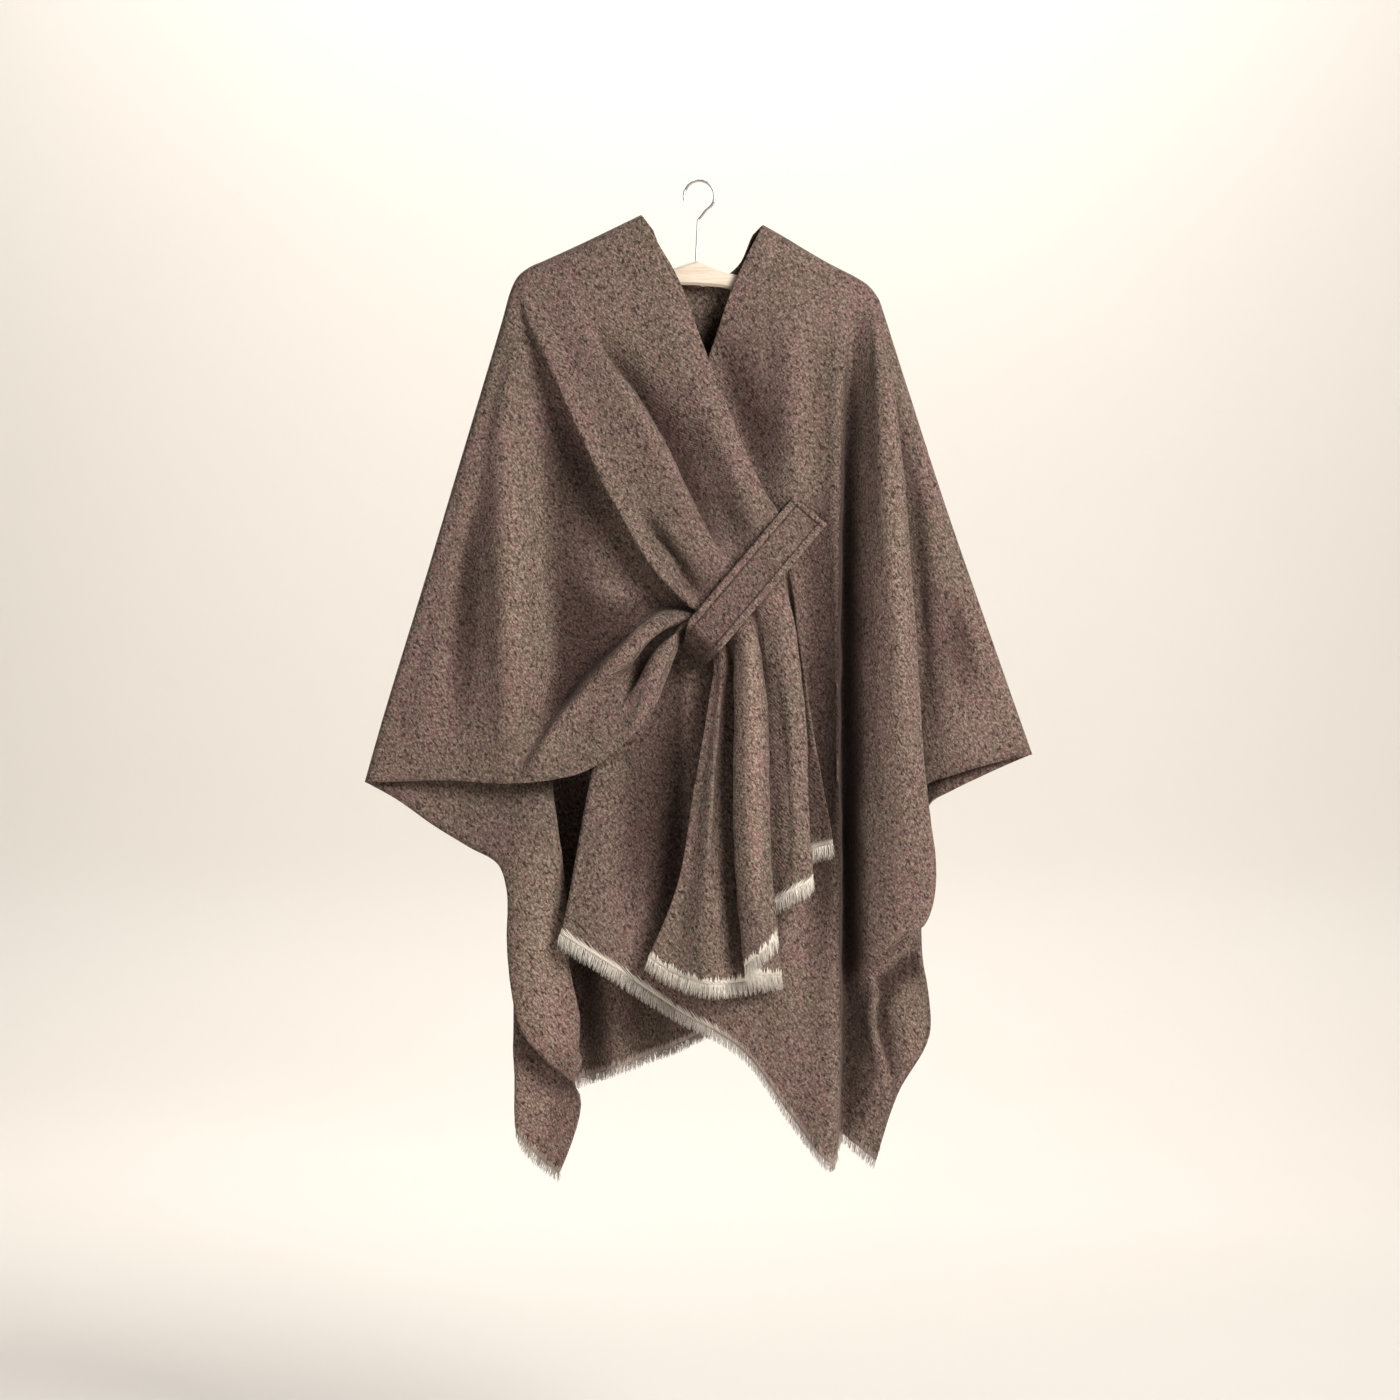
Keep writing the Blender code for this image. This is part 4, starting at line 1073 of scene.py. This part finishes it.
# How high its rims and its end stand, and how deep its grooves, seam and edges are drawn in.
RIM_RISE = 0.9
END_RISE = 0.5
GROOVE_DIP = 1.1
EDGE_DIP = 0.7
STRAP_STEP = 1.6
STRAP_COLUMNS = 43
# A point in its middle, where its outer face is towards the viewer.
STRAP_MIDDLE = (20, 40)


def rise(value, middle, softness):
    """From 0 below the middle value to 1 above it."""
    return 1 / (1 + math.exp((middle - value) / softness))


def dip(value, middle, width):
    """1 at the middle value, and falling away to both sides."""
    return math.exp(-(((value - middle) / width) ** 2))


def strap_raise(along, from_edge):
    """How far the strap's face stands over its flat middle, in millimetres."""
    raised = RIM_RISE * rise(EDGE - 0.8, from_edge, 0.5) - EDGE_DIP * dip(from_edge, 0, 0.9)
    raised -= GROOVE_DIP * (dip(from_edge, EDGE + 0.2, 0.8) + dip(along, SEAM, 0.9))
    raised += END_RISE if along < SEAM else 0.0
    return raised * rise(TURN - 4.0, along, 1.5)


def strap_nap(along, from_edge):
    """How much light or shade is painted on the strap, from 1 to -1: some shade over its face,
    least at its rims, more in its stitched grooves and seam, full where it turns back, and light
    on its stitched end.
    """
    nap = 0.45 * rise(EDGE - 1.4, from_edge, 0.5) - 0.50
    nap -= 1.2 * dip(from_edge, EDGE + 0.2, 1.0) + 1.1 * dip(along, SEAM, 1.0)
    nap += 0.9 if along < SEAM - 1 else 0.0
    turned = rise(along, TURN, 1.2)
    return nap * (1 - turned) - turned


def strap_face(points):
    """1 where the sheet's first face is the outer one, else -1."""
    return 1 if face_way(points)[STRAP_MIDDLE][2] > 0 else -1


def strap_points():
    """The strap's points, the shade and light painted on it, and the distance run along it."""
    spans = np.diff(run_along(np.array(STRAP_LINE)[:, :2]))
    line = curve_through(STRAP_LINE, steps_for(spans, STRAP_STEP))
    run = run_along(line[:, :2])
    shares = np.linspace(0, 1, STRAP_COLUMNS)
    points = np.array(
        [[strap_place(a, l + (r - l) * share, p) for a, p, l, r in line] for share in shares]
    )
    nap = np.zeros(points.shape[:2])
    out = face_way(points) * strap_face(points)
    for i, share in enumerate(shares):
        for k, (_, _, left_edge, right_edge) in enumerate(line):
            from_edge = min(share, 1 - share) * (right_edge - left_edge)
            points[i, k] += out[i, k] * strap_raise(run[k], from_edge)
            nap[i, k] = strap_nap(run[k], from_edge)
    return points, nap.ravel(), run


print("the strap's rim stands", RIM_RISE, "mm up, its groove is", GROOVE_DIP, "mm deep")

# %% [markdown]
# The strap is doubled cloth, so it is thicker than a panel. What the sewing draws in, and
# where it turns back, is also kept as painted shade and light, on both of its faces.

# %% Sew on the strap
STRAP_THICKNESS = 3.0
strap_sheet, pressed, strap_run = strap_points()
strap = sheet_object("strap_loop", strap_sheet, strap_finish, STRAP_THICKNESS)
# Painted shade and light on both of the strap's faces.
pressed = np.concatenate([pressed, -pressed]) * strap_face(strap_sheet)
record(strap, "pressed", pressed)
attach(strap, "root")
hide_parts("strap")
print("strap faces", len(strap.data.polygons), "length", round(strap_run[-1]), "mm")

# %% [markdown]
# ## Painted shade in the hollows
#
# Shade is painted into the cloth's colour in its folds and hollows, where the cloth around
# a place hides it. How open a place is can be felt by
# looking out from it: here each point looks out in a fan of directions, and keeps the
# share of them that reach open air within a hand's breadth.

# %% How open each point is
# How far a look goes, in metres, how far off the cloth it starts, how many there are from
# a point, and which points look: every third column and row.
REACH = 0.11
OFF_CLOTH = 0.0006
LOOKS = 20
EVERY = 3
# A hit hides less the farther off it is.
FARTHEST_HIT = 0.75
GOLDEN_TURN = 2.399963


def fan(count):
    """Directions spread over a dome about +Z, more of them near its top."""
    turn = np.arange(count) * GOLDEN_TURN
    up = np.sqrt(1 - (np.arange(count) + 0.5) / count)
    side = np.sqrt(1 - up**2)
    return np.stack([side * np.cos(turn), side * np.sin(turn), up], axis=1)


def openness(places, ways, tree, rays):
    """The share of looks from each place that reach open air, near hits counting most."""
    made = np.empty(len(places))
    for k, (place, way) in enumerate(zip(places, ways)):
        turn = Vector((0, 0, 1)).rotation_difference(Vector(way)).to_matrix()
        start = Vector(place) + Vector(way) * OFF_CLOTH
        seen = 0.0
        for ray in rays:
            hit = tree.ray_cast(start, turn @ ray, REACH)
            seen += 1.0 if hit[0] is None else FARTHEST_HIT * hit[3] / REACH
        made[k] = seen / len(rays)
    return made


print("looks from a point:", len(fan(LOOKS)))

# %% [markdown]
# Looking out from every point would take minutes, so only every third column and row does,
# and the points between are filled in.

# %% Look out from every sheet
def filled(values, known, count):
    """Fills in the rows between the known ones, down every column."""
    return np.array([np.interp(np.arange(count), known, column) for column in values.T]).T


def some_of(count):
    """Every few of so many columns or rows, and the last."""
    return np.unique(np.append(np.arange(0, count, EVERY), count - 1))


def all_cloth(sheets):
    """One search tree of every sheet's middle surface."""
    corners, faces, count = [], [], 0
    for points in sheets:
        number = np.arange(points[..., 0].size).reshape(points.shape[:2]) + count
        faces += squares(number)[:, [0, 3, 2, 1]].tolist()
        corners += world(points).reshape(-1, 3).tolist()
        count += number.size
    return BVHTree.FromPolygons(corners, faces)


sheets = [(cloths[name], panel.points) for name, panel in panels.items()]
sheets.append((strap, strap_sheet))
tree = all_cloth([points for _, points in sheets])
rays = [Vector(ray) for ray in fan(LOOKS)]
for made, points in sheets:
    columns, rows = [some_of(count) for count in points.shape[:2]]
    some = points[np.ix_(columns, rows)]
    out = face_way(points)[np.ix_(columns, rows)]
    out = np.stack([out[..., 0], -out[..., 2], -out[..., 1]], axis=-1)
    values = []
    for side in (1, -1):
        seen = openness(world(some).reshape(-1, 3), (side * out).reshape(-1, 3), tree, rays)
        seen = filled(seen.reshape(some.shape[:2]), columns, points.shape[0])
        values.append(filled(seen.T, rows, points.shape[1]).T.ravel())
    values = np.concatenate(values)
    # How open each point is; the finish paints shade where this is low.
    record(made, "open", values)
    print(made.name, "open from", round(values.min(), 2), "to", round(values.max(), 2))

# %% [markdown]
# ## Hanger and hook
#
# Only the crown of the hanger and its thin wire hook show over the neckline. Both solids
# are right as they are, so they only get their finishes: pale planed wood whose grain
# runs along the arms, and drawn wire with fine lengthwise marks.

# %% Wood and wire
def wood_finish():
    """Pale planed wood with its grain along the arms."""
    mix = Finish("planed wood", 0.5)
    drawn = mix.moved(mix.own, scale=(6.0, 60.0, 90.0))
    grain = mix.specks(drawn, 3.0, 5.0, distortion=0.4)
    pores = mix.steps(mix.specks(drawn, 18.0), 0.60, 0.72)
    grain_share = mix.steps(grain, 0.35, 0.65)
    colour = mix.blend(grain_share, (0.86, 0.76, 0.63), (0.74, 0.61, 0.47))
    colour = mix.blend(mix.times(pores, 0.35), colour, (0.52, 0.40, 0.30))
    mix.give(mix.shader, {"Base Color": colour})
    mix.rough(grain, 0.42, 0.62)
    mix.relief(grain, 0.25, 0.0004)
    return mix.material


def wire_finish():
    """Drawn wire with fine marks along it."""
    mix = Finish("drawn wire", 0.3)
    marks = mix.specks(mix.moved(mix.own, scale=(900.0, 900.0, 60.0)), 1.0, 3.0)
    colour = mix.blend(mix.specks(mix.own, 90.0), (0.66, 0.65, 0.63), (0.46, 0.44, 0.42))
    mix.give(mix.shader, {"Base Color": colour, "Metallic": 1.0})
    mix.rough(marks, 0.22, 0.42)
    mix.relief(marks, 0.15, 0.0002)
    return mix.material


for node_name, finish in (("hanger", wood_finish()), ("hook", wire_finish())):
    for place in frame["nodes"][node_name].material_slots:
        place.material = finish
    print(node_name, "is finished in", finish.name)

# %% [markdown]
# ## Cut sizes
#
# No sheet is given the size it was cut to before it was hung.

print("no cut sizes are set")

# %% [markdown]
# ## Setting
#
# A plain pale sweep stands behind. One large soft light hangs up and to the right in
# front, as in the photograph, and a weak one on the other side only keeps the folds from
# going black. Behind the wrap, one light is for the wall and one for the wrap's back.

# %% Sweep and lights
def sweep():
    """A floor that curves up into a wall."""
    profile = places("-4.6 -1.3, 3.4 -1.3, 3.9 -1.2, 4.2 -1, 4.3 -0.7, 4.3 3.4")
    line = curve_through(profile, [8] * (len(profile) - 1))
    points = [(x, y, z) for x in (-5.0, 5.0) for y, z in line]
    count = len(line)
    faces = [[k, k + 1, count + k + 1, count + k] for k in range(count - 1)]
    mix = Finish("paper sweep", 0.9)
    tone = mix.specks(mix.own, 1.2)
    colour = mix.blend(tone, (0.84, 0.80, 0.75), (0.88, 0.85, 0.80))
    mix.give(mix.shader, {"Base Color": colour})
    return solid("sweep", points, faces, mix.material)


def lamp(name, place, aim, size, power, colour):
    """A square soft light that faces a point."""
    light = bpy.data.lights.new(name, "AREA")
    light.shape = "SQUARE"
    light.size = size
    light.energy = power
    light.color = colour
    made = placed(name, light)
    made.location = place
    way = Vector(aim) - Vector(place)
    made.rotation_euler = way.to_track_quat("-Z", "Y").to_euler()


sweep()
middle = (0.0, 0.0, -0.5)
lamp("key", (1.75, -2.25, 0.85), middle, 1.3, 120.0, (1.0, 0.96, 0.92))
lamp("fill", (-2.0, -2.2, 0.2), middle, 1.2, 8.0, (1.0, 0.97, 0.95))
lamp("wall", (0.0, 2.7, 2.6), (0.0, 4.3, -0.6), 2.4, 118.0, (1.0, 0.965, 0.925))
lamp("behind", (-1.0, 2.4, 1.4), middle, 1.6, 22.0, (1.0, 0.97, 0.94))
sky = bpy.data.worlds.new("room")
sky.use_nodes = True
air = sky.node_tree.nodes["Background"]
air.inputs["Color"].default_value = (1.0, 0.97, 0.94, 1.0)
air.inputs["Strength"].default_value = 0.07
bpy.context.scene.world = sky
bpy.context.scene.view_settings.view_transform = "Standard"

# %% [markdown]
